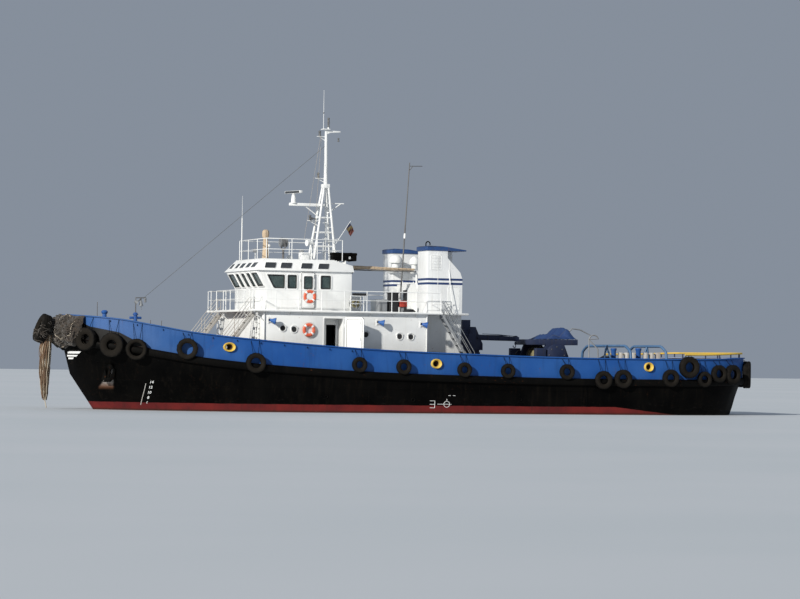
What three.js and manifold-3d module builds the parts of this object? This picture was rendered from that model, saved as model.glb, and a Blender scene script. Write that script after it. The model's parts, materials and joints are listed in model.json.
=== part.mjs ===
// Sea-going harbour tug, 35.5 m over the hull, twin screw. Millimetres.
// X points forward, Y to port, Z up. The origin is amidships on the centreline at the waterline.

import * as THREE from "three";
import { ConvexGeometry } from "three/addons/geometries/ConvexGeometry.js";
import { mergeVertices } from "three/addons/utils/BufferGeometryUtils.js";
import Module from "manifold-3d";

const wasm = await Module();
wasm.setup();

// Driving dimensions
const seatGap = 0.3;
const stemX = 17500;
const transomX = -17950;
const halfBeam = 4850;
const transomHalf = 2600;
const keelZ = -3300;
const strakeDepth = 360;
const strakeProud = 200;
const bulwarkPlate = 60;
const deckhouseHalf = 3500;
const deckhouseFront = 8450;
const deckhouseAft = -150;
const aftHouseHalf = 2600;
const aftHouseAft = -2300;
const wallThick = 80;
const boatDeckTop = 4960;
const boatDeckThick = 100;
const boatDeckHalf = 3720;
const boatDeckFront = 9050;
const bridgeHalf = 2500;
const bridgeFront = 7950;
const bridgeAft = 3520;
const sillZ = 6050;
const eaveZ = 6890;
const eaveFront = 8430;
const roofZ = 7450;
const screwY = 1900;
const screwX = -14000;
const screwZ = -2100;
const screwR = 950;
const rudderX = -15300;
const glandZ = -850;

// Heights along the hull: x, main deck edge, top of the bulwark
const sheerLine = [
  [-17400, 1930, 2970],
  [-14800, 1820, 2870],
  [-11300, 1800, 2850],
  [-6700, 1810, 2860],
  [-1900, 1880, 2960],
  [1800, 1960, 3060],
  [4900, 2080, 3210],
  [8900, 2320, 3490],
  [12000, 2640, 3800],
  [14000, 2960, 4150],
  [15500, 3200, 4410],
  [17600, 3440, 4600],
];

// Waterlines from the keel to the deck. A z of null means a height that follows the sheer.
// aft and fore are the line's ends, half its widest half breadth, aftHalf its half breadth at the transom,
// midAft and midFore where the parallel body ends, foreFull and aftFull how full its ends are.
const lineKeys = ["z", "aft", "fore", "half", "aftHalf", "midAft", "midFore", "foreFull", "aftFull"];
const lineRows = [
  [keelZ, -6000, 12600, 900, 0, 500, 3000, 1.1, 1.3],
  [-3150, -7600, 13200, 2900, 0, 0, 3000, 1.1, 1.3],
  [-2600, -9600, 13950, 4250, 0, -1500, 3000, 1.1, 1.3],
  [-1700, -12300, 14700, 4650, 0, -3500, 3300, 1.15, 1.3],
  [-800, -15000, 15350, 4740, 0, -6000, 3600, 1.2, 1.3],
  [-250, -17350, 15730, 4770, 2350, -9000, 4000, 1.25, 2.2],
  [400, -17470, 16170, 4790, 2450, -10500, 4400, 1.35, 2.4],
  [null, -17560, 17080, 4830, 2550, -11500, 5200, 1.65, 2.5],
  [null, -17760, 17440, halfBeam, transomHalf, -12000, 6000, 1.92, 2.5],
  [null, transomX, stemX, halfBeam, transomHalf, -12000, 6000, 2, 2.5],
];
const waterlines = lineRows.map((row) => Object.fromEntries(row.map((value, k) => [lineKeys[k], value])));
const [midTopsideLine, strakeLine, deckLine] = waterlines.slice(-3);
// The two lines under the deck, as a share of the way from the lowest topside line to the strake's foot
const topsideFoot = 400;
midTopsideLine.follow = 0.5;
strakeLine.follow = 1;

const paint = {
  white: { color: 0xe9ebe8, roughness: 0.45, metalness: 0 },
  blue: { color: 0x1f56a8, roughness: 0.45, metalness: 0 },
  black: { color: 0x141416, roughness: 0.55, metalness: 0 },
  rubber: { color: 0x1d1a18, roughness: 0.85, metalness: 0 },
  rope: { color: 0x6a5640, roughness: 0.95, metalness: 0 },
  navy: { color: 0x16223f, roughness: 0.5, metalness: 0 },
  yellow: { color: 0xd9c422, roughness: 0.5, metalness: 0 },
  bronze: { color: 0xa07840, roughness: 0.35, metalness: 0.9 },
  primer: { color: 0x6d2a26, roughness: 0.6, metalness: 0 },
  steel: { color: 0x55585a, roughness: 0.5, metalness: 0.6 },
  canvas: { color: 0x9a8058, roughness: 0.9, metalness: 0 },
  tarp: { color: 0x1b4fb0, roughness: 0.7, metalness: 0 },
};

// Solids: a closed geometry becomes a manifold solid, and back

function solidFrom(geometry) {
  const bare = geometry.clone();
  for (const name of Object.keys(bare.attributes)) {
    if (name !== "position") bare.deleteAttribute(name);
  }
  const merged = mergeVertices(bare, 0.01);
  const index = merged.index.array;
  const kept = [];
  for (let i = 0; i < index.length; i += 3) {
    const [a, b, c] = [index[i], index[i + 1], index[i + 2]];
    if (a !== b && b !== c && a !== c) kept.push(a, b, c);
  }
  return new wasm.Manifold(new wasm.Mesh({
    numProp: 3,
    vertProperties: new Float32Array(merged.attributes.position.array),
    triVerts: new Uint32Array(kept),
  }));
}

function geometryFrom(solid) {
  const mesh = solid.getMesh();
  const geometry = new THREE.BufferGeometry();
  geometry.setAttribute("position", new THREE.BufferAttribute(new Float32Array(mesh.vertProperties), 3));
  geometry.setIndex(new THREE.BufferAttribute(new Uint32Array(mesh.triVerts), 1));
  geometry.computeVertexNormals();
  return geometry;
}

function join(solids) {
  return solids.reduce((sum, next) => sum.add(next));
}

function cut(solid, ...tools) {
  return tools.reduce((rest, tool) => rest.subtract(tool), solid);
}

function mirrorY(solid) {
  return solid.mirror([0, 1, 0]);
}

function largest(solid) {
  return solid.decompose().sort((a, b) => b.volume() - a.volume())[0];
}

// The same solid shifted a little every way, to leave a gap all round when it cuts a neighbour
function shaken(solid, gap = 0.4) {
  const steps = [[1, 0, 0], [-1, 0, 0], [0, 1, 0], [0, -1, 0], [0, 0, 1], [0, 0, -1]];
  return steps.map((way) => solid.translate(way.map((v) => v * gap)));
}

function block(x0, x1, y0, y1, z0, z1) {
  const geometry = new THREE.BoxGeometry(x1 - x0, y1 - y0, z1 - z0);
  geometry.translate((x0 + x1) / 2, (y0 + y1) / 2, (z0 + z1) / 2);
  return solidFrom(geometry);
}

// A round bar between two points, with its number of flat sides, and tapered where a tip radius is given
function rod(from, to, radius, sides = 6, tipRadius = radius) {
  const start = new THREE.Vector3(...from);
  const way = new THREE.Vector3(...to).sub(start);
  const geometry = new THREE.CylinderGeometry(tipRadius, radius, way.length(), sides);
  geometry.translate(0, way.length() / 2, 0);
  const turn = new THREE.Quaternion().setFromUnitVectors(new THREE.Vector3(0, 1, 0), way.clone().normalize());
  geometry.applyQuaternion(turn);
  geometry.translate(start.x, start.y, start.z);
  return solidFrom(geometry);
}

// A prism whose outline lies in the XZ plane, from y0 to y1
function sidePrism(outline, y0, y1) {
  const shape = new THREE.Shape(outline.map(([x, z]) => new THREE.Vector2(x, z)));
  const geometry = new THREE.ExtrudeGeometry(shape, { depth: y1 - y0, bevelEnabled: false });
  geometry.rotateX(Math.PI / 2);
  geometry.translate(0, y1, 0);
  return solidFrom(geometry);
}

// A prism whose outline lies in the XY plane, from z0 to z1
function planPrism(outline, z0, z1) {
  const shape = new THREE.Shape(outline.map(([x, y]) => new THREE.Vector2(x, y)));
  const geometry = new THREE.ExtrudeGeometry(shape, { depth: z1 - z0, bevelEnabled: false });
  geometry.translate(0, 0, z0);
  return solidFrom(geometry);
}

function hullOf(points) {
  return solidFrom(new ConvexGeometry(points.map((p) => new THREE.Vector3(...p))));
}

// A body through closed rings of equal point count, capped flat at both ends
function loftRings(rings) {
  const count = rings[0].length;
  const positions = [];
  const push = (...points) => points.forEach((p) => positions.push(p[0], p[1], p[2]));
  for (let i = 0; i + 1 < rings.length; i++) {
    for (let j = 0; j < count; j++) {
      const k = (j + 1) % count;
      push(rings[i][j], rings[i + 1][j], rings[i + 1][k]);
      push(rings[i][j], rings[i + 1][k], rings[i][k]);
    }
  }
  for (const [ring, flip] of [[rings[0], false], [rings[rings.length - 1], true]]) {
    for (let j = 1; j + 1 < count; j++) {
      if (flip) push(ring[0], ring[j + 1], ring[j]);
      else push(ring[0], ring[j], ring[j + 1]);
    }
  }
  const geometry = new THREE.BufferGeometry();
  geometry.setAttribute("position", new THREE.Float32BufferAttribute(positions, 3));
  const solid = solidFrom(geometry);
  return solid.volume() < 0 ? solidFrom(flipped(geometry)) : solid;
}

function flipped(geometry) {
  const turned = geometry.clone();
  const p = turned.attributes.position;
  for (let i = 0; i < p.count; i += 3) {
    const [x, y, z] = [p.getX(i), p.getY(i), p.getZ(i)];
    p.setXYZ(i, p.getX(i + 1), p.getY(i + 1), p.getZ(i + 1));
    p.setXYZ(i + 1, x, y, z);
  }
  return turned;
}

// Hull lines

function sheerAt(x, column) {
  const curve = sheerLine;
  let i = 0;
  while (i < curve.length - 2 && x > curve[i + 1][0]) i++;
  const value = (k) => curve[Math.min(Math.max(k, 0), curve.length - 1)];
  const t = Math.min(Math.max((x - curve[i][0]) / (curve[i + 1][0] - curve[i][0]), 0), 1);
  const slope = (k) => {
    const [a, b] = [value(k - 1), value(k + 1)];
    return (b[column] - a[column]) / (b[0] - a[0]);
  };
  const span = curve[i + 1][0] - curve[i][0];
  const [h0, h1] = [curve[i][column], curve[i + 1][column]];
  const [m0, m1] = [slope(i) * span, slope(i + 1) * span];
  return h0 * (2 * t ** 3 - 3 * t ** 2 + 1) + m0 * (t ** 3 - 2 * t ** 2 + t)
    + h1 * (3 * t ** 2 - 2 * t ** 3) + m1 * (t ** 3 - t ** 2);
}

const deckAt = (x) => sheerAt(x, 1);
const railAt = (x) => sheerAt(x, 2);

function halfBreadth(line, x) {
  if (x > line.midFore) {
    const t = Math.min((x - line.midFore) / (line.fore - line.midFore), 1);
    return line.half * (1 - t ** 2) ** (1 / line.foreFull);
  }
  if (x < line.midAft) {
    const t = Math.min((line.midAft - x) / (line.midAft - line.aft), 1);
    return line.aftHalf + (line.half - line.aftHalf) * (1 - t ** line.aftFull) ** (1 / line.aftFull);
  }
  return line.half;
}

function lineHeight(line, x) {
  if (line.z !== null) return line.z;
  if (line === deckLine) return deckAt(x);
  return topsideFoot + (deckAt(x) - strakeDepth - topsideFoot) * line.follow;
}

// Stations crowd towards both ends, where the lines curve most
const stationCount = 30;
const stations = Array.from({ length: stationCount + 1 }, (_, i) => {
  const t = i / stationCount;
  return 0.35 * t + 0.65 * (0.5 - 0.5 * Math.cos(Math.PI * t));
});

function linePoint(line, s) {
  const x = line.aft + (line.fore - line.aft) * s;
  return [x, s === 1 ? 0 : halfBreadth(line, x), lineHeight(line, x)];
}

function hullBody() {
  const rings = stations.map((s) => {
    const port = waterlines.map((line) => linePoint(line, s));
    const starboard = port.map(([x, y, z]) => [x, -y, z]).reverse();
    return [...port, ...starboard];
  });
  const count = waterlines.length;
  const positions = [];
  const push = (...points) => points.forEach((p) => positions.push(p[0], p[1], p[2]));
  for (let i = 0; i < stationCount; i++) {
    const [a, b] = [rings[i], rings[i + 1]];
    for (let j = 0; j < 2 * count; j++) {
      const k = (j + 1) % (2 * count);
      if (j < count) push(a[j], b[j], b[k], a[j], b[k], a[k]);
      else push(a[j], b[j], a[k], b[j], b[k], a[k]);
    }
  }
  const last = 2 * count - 1;
  for (let j = 0; j + 1 < count; j++) {
    push(rings[0][j], rings[0][j + 1], rings[0][last - j - 1]);
    push(rings[0][j], rings[0][last - j - 1], rings[0][last - j]);
  }
  const geometry = new THREE.BufferGeometry();
  geometry.setAttribute("position", new THREE.Float32BufferAttribute(positions, 3));
  const solid = solidFrom(geometry);
  const body = solid.volume() < 0 ? solidFrom(flipped(geometry)) : solid;
  const gland = (y) => rod([rudderX, y, glandZ], [rudderX, y, 100], 190, 12);
  return join([body, gland(screwY), gland(-screwY)]);
}

const hull = hullBody();
const hullShifted = (dx, dy, dz) => hull.translate([dx, dy, dz]);
// The hull grown by about half a millimetre on its sides and ends
const hullSkin = hull.scale([1.00003, 1.00012, 1]);

// The outline of the deck edge on the port side, from the middle of the transom round to the stem
const centreGap = 0.2;
const transomSteps = [0, 0.35, 0.7, 0.9];

function edgePath(line) {
  const points = transomSteps.map((f) => [line.aft, Math.max(f * line.aftHalf, centreGap)]);
  for (const s of stations) {
    const [x, y] = linePoint(line, s);
    points.push([x, Math.max(y, centreGap)]);
  }
  return points;
}

function outwardNormals(points) {
  return points.map((_, i) => {
    if (i === 0) return [-1, 0];
    if (i === points.length - 1) return [1, 0];
    const [a, b] = [points[i - 1], points[i + 1]];
    const length = Math.hypot(b[0] - a[0], b[1] - a[1]);
    return [-(b[1] - a[1]) / length, (b[0] - a[0]) / length];
  });
}

const deckEdge = edgePath(deckLine);
const deckNormals = outwardNormals(deckEdge);
const strakeEdge = edgePath(strakeLine);

function offsetPoint(i, outward, z) {
  const [x, y] = deckEdge[i];
  const [nx, ny] = deckNormals[i];
  return [x + nx * outward, Math.max(y + ny * outward, centreGap), z];
}

// A point and outward normal on the deck edge at a given x, or at a given y across the transom
function edgeAt({ x, y }) {
  for (let i = 0; i + 1 < deckEdge.length; i++) {
    const [a, b] = [deckEdge[i], deckEdge[i + 1]];
    const onTransom = y !== undefined && i < transomSteps.length && b[1] >= y;
    const onSide = x !== undefined && i >= transomSteps.length && b[0] >= x;
    if (!onTransom && !onSide) continue;
    const t = onTransom ? (y - a[1]) / (b[1] - a[1]) : (x - a[0]) / (b[0] - a[0]);
    const normal = [0, 1].map((k) => deckNormals[i][k] * (1 - t) + deckNormals[i + 1][k] * t);
    const length = Math.hypot(...normal);
    return { point: [0, 1].map((k) => a[k] * (1 - t) + b[k] * t), normal: normal.map((n) => n / length) };
  }
  throw new Error("no such place on the deck edge");
}

// Bulwark: plate with a cap rail, one half each side, sitting on the deck edge
const fairleads = [
  { x: 10410, z: 3100, halfLong: 290, halfHigh: 225 },
  { x: -106, z: 2440, halfLong: 270, halfHigh: 235 },
  { x: -11627, z: 2420, halfLong: 240, halfHigh: 230 },
];

function bulwarkHalf() {
  const plateOut = -40;
  const capOut = 30;
  const capIn = -190;
  const capThick = 60;
  const rings = deckEdge.map(([x], i) => {
    const top = railAt(x);
    const base = deckAt(x) - 90;
    return [
      offsetPoint(i, plateOut, base), offsetPoint(i, plateOut, top - capThick),
      offsetPoint(i, capOut, top - capThick), offsetPoint(i, capOut, top),
      offsetPoint(i, capIn, top), offsetPoint(i, capIn, top - capThick),
      offsetPoint(i, plateOut - bulwarkPlate, top - capThick), offsetPoint(i, plateOut - bulwarkPlate, base),
    ];
  });
  const holes = fairleads.map(({ x, z, halfLong, halfHigh }) => {
    const { point, normal } = edgeAt({ x });
    const geometry = new THREE.CylinderGeometry(1, 1, 700, 12);
    geometry.scale(halfLong, 1, halfHigh);
    geometry.rotateZ(Math.atan2(normal[1], normal[0]) - Math.PI / 2);
    geometry.translate(point[0], point[1], z);
    return solidFrom(geometry);
  });
  return largest(cut(loftRings(rings), hullShifted(0, 0, seatGap), ...holes));
}

// Tyres hung over the side: place, height of the centre, outer diameter, width
const sideTyres = [
  { x: 16650, z: 3390, size: 1120, width: 300 },
  { x: 15650, z: 3120, size: 1180, width: 320 },
  { x: 14620, z: 2930, size: 1030, width: 300 },
  { x: 12390, z: 2990, size: 1030, width: 280 },
  { x: 9180, z: 2360, size: 980, width: 280 },
  { x: 3980, z: 2340, size: 760, width: 240 },
  { x: 1680, z: 2260, size: 760, width: 240 },
  { x: -1520, z: 2160, size: 740, width: 240 },
  { x: -3840, z: 2130, size: 740, width: 240 },
  { x: -7030, z: 2120, size: 790, width: 240 },
  { x: -9030, z: 1740, size: 920, width: 260 },
  { x: -10110, z: 1810, size: 940, width: 260 },
  { x: -12760, z: 1870, size: 900, width: 260 },
  { x: -13780, z: 2430, size: 1100, width: 340 },
  { x: -14700, z: 1830, size: 800, width: 260 },
  { x: -15560, z: 2120, size: 900, width: 300 },
  { x: -16420, z: 2090, size: 1000, width: 340 },
];
const transomTyres = [
  { y: 700, z: 2080, size: 1300, width: 400 },
  { y: 2050, z: 2080, size: 1300, width: 400 },
];
const cornerTyre = { x: -17700, z: 2090, size: 1400, width: 420 };

function tyreSolid(size, width, segments = 8) {
  const outer = size / 2;
  const inner = outer * 0.46;
  const profile = [
    [inner, -0.45 * width], [outer, -0.36 * width], [outer, 0.36 * width], [inner, 0.45 * width],
    [inner, -0.45 * width],
  ].map(([r, h]) => new THREE.Vector2(r, h));
  return new THREE.LatheGeometry(profile, segments);
}

function hungTyre({ size, width, z }, { point, normal }) {
  const geometry = tyreSolid(size, width);
  geometry.rotateZ(Math.atan2(normal[1], normal[0]) - Math.PI / 2);
  const out = 70 + width / 2;
  geometry.translate(point[0] + normal[0] * out, point[1] + normal[1] * out, z);
  return solidFrom(geometry);
}

function fenderHalf() {
  const lastStation = deckEdge.findIndex(([x]) => x > 16750) - 1;
  const skin = -25;
  const topDrop = 6;
  const rings = [];
  for (let i = 0; i <= lastStation; i++) {
    const [lowX, lowY] = strakeEdge[i];
    const [nx, ny] = deckNormals[i];
    const low = (outward, rise) => {
      const [x, y] = deckEdge[i];
      const mix = rise / strakeDepth;
      const z0 = lineHeight(strakeLine, lowX);
      const z1 = lineHeight(deckLine, x);
      const base = [lowX + (x - lowX) * mix, lowY + (y - lowY) * mix];
      return [base[0] + nx * outward, Math.max(base[1] + ny * outward, centreGap), z0 + (z1 - z0) * mix];
    };
    rings.push([
      low(skin, 0), low(strakeProud * 0.6, 0), low(strakeProud, strakeDepth * 0.3),
      low(strakeProud, strakeDepth * 0.75), low(strakeProud * 0.75, strakeDepth - topDrop),
      low(skin, strakeDepth - topDrop),
    ]);
  }
  const strake = loftRings(rings);
  const tyres = sideTyres.map((tyre) => hungTyre(tyre, edgeAt({ x: tyre.x })));
  tyres.push(hungTyre(cornerTyre, edgeAt({ x: cornerTyre.x })));
  tyres.push(...transomTyres.map((tyre) => hungTyre(tyre, edgeAt({ y: tyre.y }))));
  const halfSpace = block(-20000, 20000, centreGap, 8000, -5000, 9000);
  return largest(cut(join([strake, ...tyres]).intersect(halfSpace), hullSkin));
}

// Bow fender: a thick rope pudding round the stem head, a tyre on its nose and a beard of old rope

function bowPudding() {
  const first = deckEdge.findIndex(([x]) => x > 16850);
  const [low, high, capClear] = [2980, 4560, 30.6];
  const section = (i, side) => {
    const [x, y] = deckEdge[i];
    const [nx, ny] = deckNormals[i];
    const bulge = 560 * Math.min(1, 0.55 + (i - first) / (deckEdge.length - first));
    return [[0, 0.08], [0.75, 0], [1, 0.25], [1, 0.72], [0.72, 0.97], [0, 1]].map(([out, rise]) => {
      const reach = Math.max(out * bulge, capClear);
      const z = low + (high - low) * rise;
      return [x + nx * reach, side * (i === deckEdge.length - 1 ? 0 : y + ny * reach), z];
    });
  };
  const rings = [];
  for (let i = first; i < deckEdge.length; i++) rings.push(section(i, 1));
  for (let i = deckEdge.length - 2; i >= first; i--) rings.push(section(i, -1));
  const foremost = sideTyres[0];
  const { point, normal } = edgeAt({ x: foremost.x });
  const room = block(-2000, foremost.size / 2 + 5, -400, 900, 2000, 6000)
    .rotate([0, 0, THREE.MathUtils.radToDeg(Math.atan2(normal[1], normal[0])) - 90])
    .translate([point[0], point[1], 0]);
  return cut(loftRings(rings), room, mirrorY(room));
}

const bulwarkSolid = bulwarkHalf();
const fenderSolid = fenderHalf();
// The strake comes in two lengths, which meet under the after fairlead
const strakeButt = fairleads[2].x;
const fenderLength = (x0, x1) => fenderSolid.intersect(block(x0, x1, 0, 8000, -5000, 9000));
const foreFenders = fenderLength(strakeButt + seatGap / 2, 20000);
const aftFenders = fenderLength(-20000, strakeButt - seatGap / 2);
const puddingSolid = bowPudding();

const stemTyre = { x: 18290, z: 3880, size: 1340, width: 400, lean: 20 };

function stemTyreSolid() {
  const geometry = tyreSolid(stemTyre.size, stemTyre.width, 16);
  geometry.rotateZ(-Math.PI / 2);
  geometry.rotateY(-THREE.MathUtils.degToRad(stemTyre.lean));
  geometry.translate(stemTyre.x, 0, stemTyre.z);
  return largest(cut(solidFrom(geometry), ...shaken(puddingSolid)));
}

const stemTyreBody = stemTyreSolid();

function bowBeard() {
  const sections = [
    { z: 3560, x: 18080, halfX: 230, halfY: 420 },
    { z: 3000, x: 18190, halfX: 210, halfY: 400 },
    { z: 1800, x: 18230, halfX: 200, halfY: 330 },
    { z: 800, x: 18230, halfX: 160, halfY: 240 },
    { z: 120, x: 18220, halfX: 60, halfY: 90 },
  ];
  const rings = sections.map(({ z, x, halfX, halfY }) => Array.from({ length: 8 }, (_, k) => {
    const a = (k / 8) * 2 * Math.PI;
    return [x + halfX * Math.cos(a), halfY * Math.sin(a), z];
  }));
  return largest(cut(loftRings(rings), ...shaken(stemTyreBody), ...shaken(puddingSolid)));
}

// Below the waterline

function hullWithSkeg() {
  const outline = [[-4000, keelZ], [-12400, keelZ], [-13000, -2900], [-13000, -1200], [-4000, -2700]];
  return join([hull, sidePrism(outline, -110, 110)]);
}

function shaftLine(side) {
  const y = side * screwY;
  const tube = rod([-8600, y, screwZ], [screwX + 330, y, screwZ], 150, 12);
  const boss = rod([screwX + 900, y, screwZ], [screwX + 330, y, screwZ], 230, 12);
  const strut = sidePrism([
    [screwX + 820, screwZ], [screwX + 460, screwZ], [screwX + 520, -300], [screwX + 940, -300],
  ], y - 60, y + 60);
  return largest(cut(join([tube, boss, strut]), hullShifted(0, 0, -seatGap)));
}

function screw(side) {
  const hub = rod([screwX + 329.6, 0, 0], [screwX - 180, 0, 0], 210, 12, 170);
  const cone = rod([screwX - 180, 0, 0], [screwX - 420, 0, 0], 170, 12, 40);
  const sectionRadii = [150, 420, 700, screwR];
  const chords = [330, 520, 560, 260];
  const blade = () => loftRings(sectionRadii.map((radius, i) => {
    const twist = Math.atan(1500 / (2 * Math.PI * (radius + 60)));
    const half = chords[i] / 2;
    const thick = [52, 34, 22, 12][i];
    return [[-1, 0], [0, 1], [1, 0], [0, -1]].map(([along, across]) => {
      const u = along * half;
      const w = across * thick;
      const x = u * Math.sin(twist) + w * Math.cos(twist);
      const y = u * Math.cos(twist) - w * Math.sin(twist);
      return [screwX + 60 + x, side * y, radius];
    });
  }));
  const blades = Array.from({ length: 4 }, (_, k) => blade().rotate([k * 90 + 20, 0, 0]));
  return join([hub, cone, ...blades]).translate([0, side * screwY, screwZ]);
}

function rudder(side) {
  const y = side * screwY;
  const top = glandZ - 60;
  const bottom = -3000;
  const outline = [[520, 0], [380, 95], [0, 120], [-1100, 18], [-1100, -18], [0, -120], [380, -95]];
  const blade = planPrism(outline.map(([dx, dy]) => [rudderX + dx, y + dy]), bottom, top);
  const stock = rod([rudderX, y, top - 200], [rudderX, y, glandZ - seatGap], 95, 12);
  return join([blade, stock]);
}

// Doors that close over the outside of a wall and hang on lugs welded to it

const doors = {
  deckhouse: {
    wallY: deckhouseHalf, hingeX: 4240, way: 1, width: 1095, z0: 2430, z1: 4640, thick: 45, openNow: 130,
  },
  bridge: { wallY: bridgeHalf, hingeX: 6225, way: -1, width: 790, z0: 5040, z1: 6830, thick: 40, openNow: 0 },
};
const hingeOut = 36;
const leafStart = 42;
const knuckleHeights = [0.14, 0.8];
const knuckleLong = 130;

function doorLugs({ wallY, hingeX, z0, z1 }) {
  return knuckleHeights.map((f) => {
    const z = z0 + (z1 - z0) * f;
    return block(hingeX - 18, hingeX + 18, wallY - 20, wallY + hingeOut + 14, z - 70, z - seatGap);
  });
}

function doorLeaf({ wallY, hingeX, way, width, z0, z1, thick, openNow }) {
  const y = wallY + hingeOut;
  const corner = 120;
  const outline = [
    [leafStart, z0], [width - corner, z0], [width, z0 + corner],
    [width, z1 - corner], [width - corner, z1], [leafStart, z1],
  ].map(([along, z]) => [hingeX + way * along, z]);
  if (way < 0) outline.reverse();
  const leaf = sidePrism(outline, y - thick / 2, y + thick / 2);
  const knuckles = knuckleHeights.flatMap((f) => {
    const z = z0 + (z1 - z0) * f;
    const reach = [hingeX, hingeX + way * (leafStart + 30)].sort((a, b) => a - b);
    return [
      rod([hingeX, y, z], [hingeX, y, z + knuckleLong], 16, 8),
      block(reach[0], reach[1], y - 10, y + 10, z + 4, z + knuckleLong - 4),
    ];
  });
  const leafAndKnuckles = join([leaf, ...knuckles]);
  return leafAndKnuckles.translate([-hingeX, -y, 0]).rotate([0, 0, way * openNow]).translate([hingeX, y, 0]);
}

// Accommodation

const opening = {
  deckhouse: { x0: 4310, x1: 5285, z0: 2490, z1: 4580 },
  bridge: { x0: 5480, x1: 6150, z0: 5100, z1: 6770 },
};

function deckhouse() {
  const top = boatDeckTop - boatDeckThick - seatGap;
  const low = 1650;
  const shell = join([
    block(deckhouseAft, deckhouseFront, -deckhouseHalf, deckhouseHalf, low, top),
    block(aftHouseAft, deckhouseAft + 10, -aftHouseHalf, aftHouseHalf, low, top),
  ]);
  const wideRoom = deckhouseHalf - wallThick;
  const aftRoom = aftHouseHalf - wallThick;
  const rooms = join([
    block(deckhouseAft + wallThick, deckhouseFront - wallThick, -wideRoom, wideRoom, low - 10, top + 10),
    block(aftHouseAft + wallThick, deckhouseAft + 100, -aftRoom, aftRoom, low - 10, top + 10),
  ]);
  const { x0, x1, z0, z1 } = opening.deckhouse;
  const doorways = block(x0, x1, -deckhouseHalf - 50, deckhouseHalf + 50, z0, z1);
  const lugs = doorLugs(doors.deckhouse);
  const walls = cut(shell, rooms, doorways);
  return cut(join([walls, ...lugs, ...lugs.map(mirrorY)]), hullShifted(0, 0, seatGap));
}

function boatDeck() {
  const z0 = boatDeckTop - boatDeckThick;
  const plate = join([
    block(-850, boatDeckFront, -boatDeckHalf, boatDeckHalf, z0, boatDeckTop),
    block(-2450, -800, -3180, 3180, z0, boatDeckTop),
  ]);
  const ladderWells = [-1, 1].map((side) => {
    const [a, b] = [side * 2330, side * 3080].sort((p, q) => p - q);
    return block(8560, 9100, a, b, z0 - 10, boatDeckTop + 10);
  });
  return cut(plate, ...ladderWells);
}

const sideWindows = [
  [[7030, 6040], [7560, 6040], [7900, 6670], [7030, 6670]],
  [[6410, 6040], [6850, 6040], [6850, 6670], [6410, 6670]],
  [[4640, 6040], [5130, 6040], [5130, 6670], [4640, 6670]],
];
const frontWindows = [[-2290, -1420], [-1090, -640], [-225, 225], [640, 1090], [1420, 2290]];

function wheelhouse() {
  const floor = boatDeckTop + seatGap;
  const outer = sidePrism([
    [bridgeAft, floor], [bridgeFront, floor], [bridgeFront, sillZ], [eaveFront, eaveZ], [bridgeAft, eaveZ],
  ], -bridgeHalf, bridgeHalf);
  const wall = 60;
  const inner = sidePrism([
    [bridgeAft + wall, floor - 10], [bridgeFront - wall, floor - 10], [bridgeFront - wall, sillZ],
    [eaveFront - wall + 6, eaveZ + 10], [bridgeAft + wall, eaveZ + 10],
  ], -bridgeHalf + wall, bridgeHalf - wall);
  const { x0, x1, z0, z1 } = opening.bridge;
  const panes = [
    ...sideWindows.map((outline) => sidePrism(outline, -bridgeHalf - 50, bridgeHalf + 50)),
    ...frontWindows.map(([y0, y1]) => block(7500, 8700, y0, y1, 6150, 6760)),
    block(3300, 3700, -1700, -700, 6040, 6670),
    block(3300, 3700, 700, 1700, 6040, 6670),
    block(x0, x1, -bridgeHalf - 50, bridgeHalf + 50, z0, z1),
  ];
  const lugs = doorLugs(doors.bridge);
  return join([cut(outer, inner, ...panes), ...lugs, ...lugs.map(mirrorY)]);
}

function wheelhouseRoof() {
  const shell = (inset, drop) => hullOf([-1, 1].flatMap((side) => [
    [3440 + inset, side * (bridgeHalf + 120 - inset), eaveZ + seatGap - drop],
    [eaveFront + 60 - inset, side * (bridgeHalf + 120 - inset), eaveZ + seatGap - drop],
    [8020 - inset, side * (2250 - inset), roofZ - inset],
    [4350, side * (2250 - inset), roofZ - inset],
    [3440 + inset, side * (2400 - inset), 7210 - inset],
  ]));
  return join([cut(shell(0, 0), shell(50, 200)), lockerCradle()]);
}

// Funnels stand on the boat deck, each with a swept blue cap

function funnel(side) {
  const [inner, outer] = [1760, 3120];
  const base = boatDeckTop + seatGap;
  const body = sidePrism([
    [-2130, base], [-2130, 6680], [-2010, 7000], [-1330, 7700], [-1330, 8060], [-250, 8060], [-250, base],
  ], inner, outer);
  const screen = sidePrism([
    [-2130, base], [-2130, 6000], [-2080, 8060], [-1000, 8060], [-1000, base],
  ], inner, inner + 60);
  const cap = sidePrism([
    [-2300, 8050], [-2300, 8110], [-1100, 8270], [-300, 8290], [-190, 8250], [-190, 8050],
  ], inner - 60, outer + 50);
  const bore = block(-1150, -500, inner + 250, outer - 250, 7200, 8400);
  const solid = cut(join([body, screen, cap]), bore);
  return side > 0 ? solid : mirrorY(solid);
}

function engineCasing() {
  return join([block(-2100, -500, -1740, 1740, boatDeckTop + seatGap, 6450), awningCrutch()]);
}

// Masts

const mastFeet = [[4800, 450, roofZ], [3620, 450, 7262]];
const mastHeads = [[4170, 120, 11350], [3980, 120, 11350]];
const mastRungs = [8230, 8930, 9670];

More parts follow.
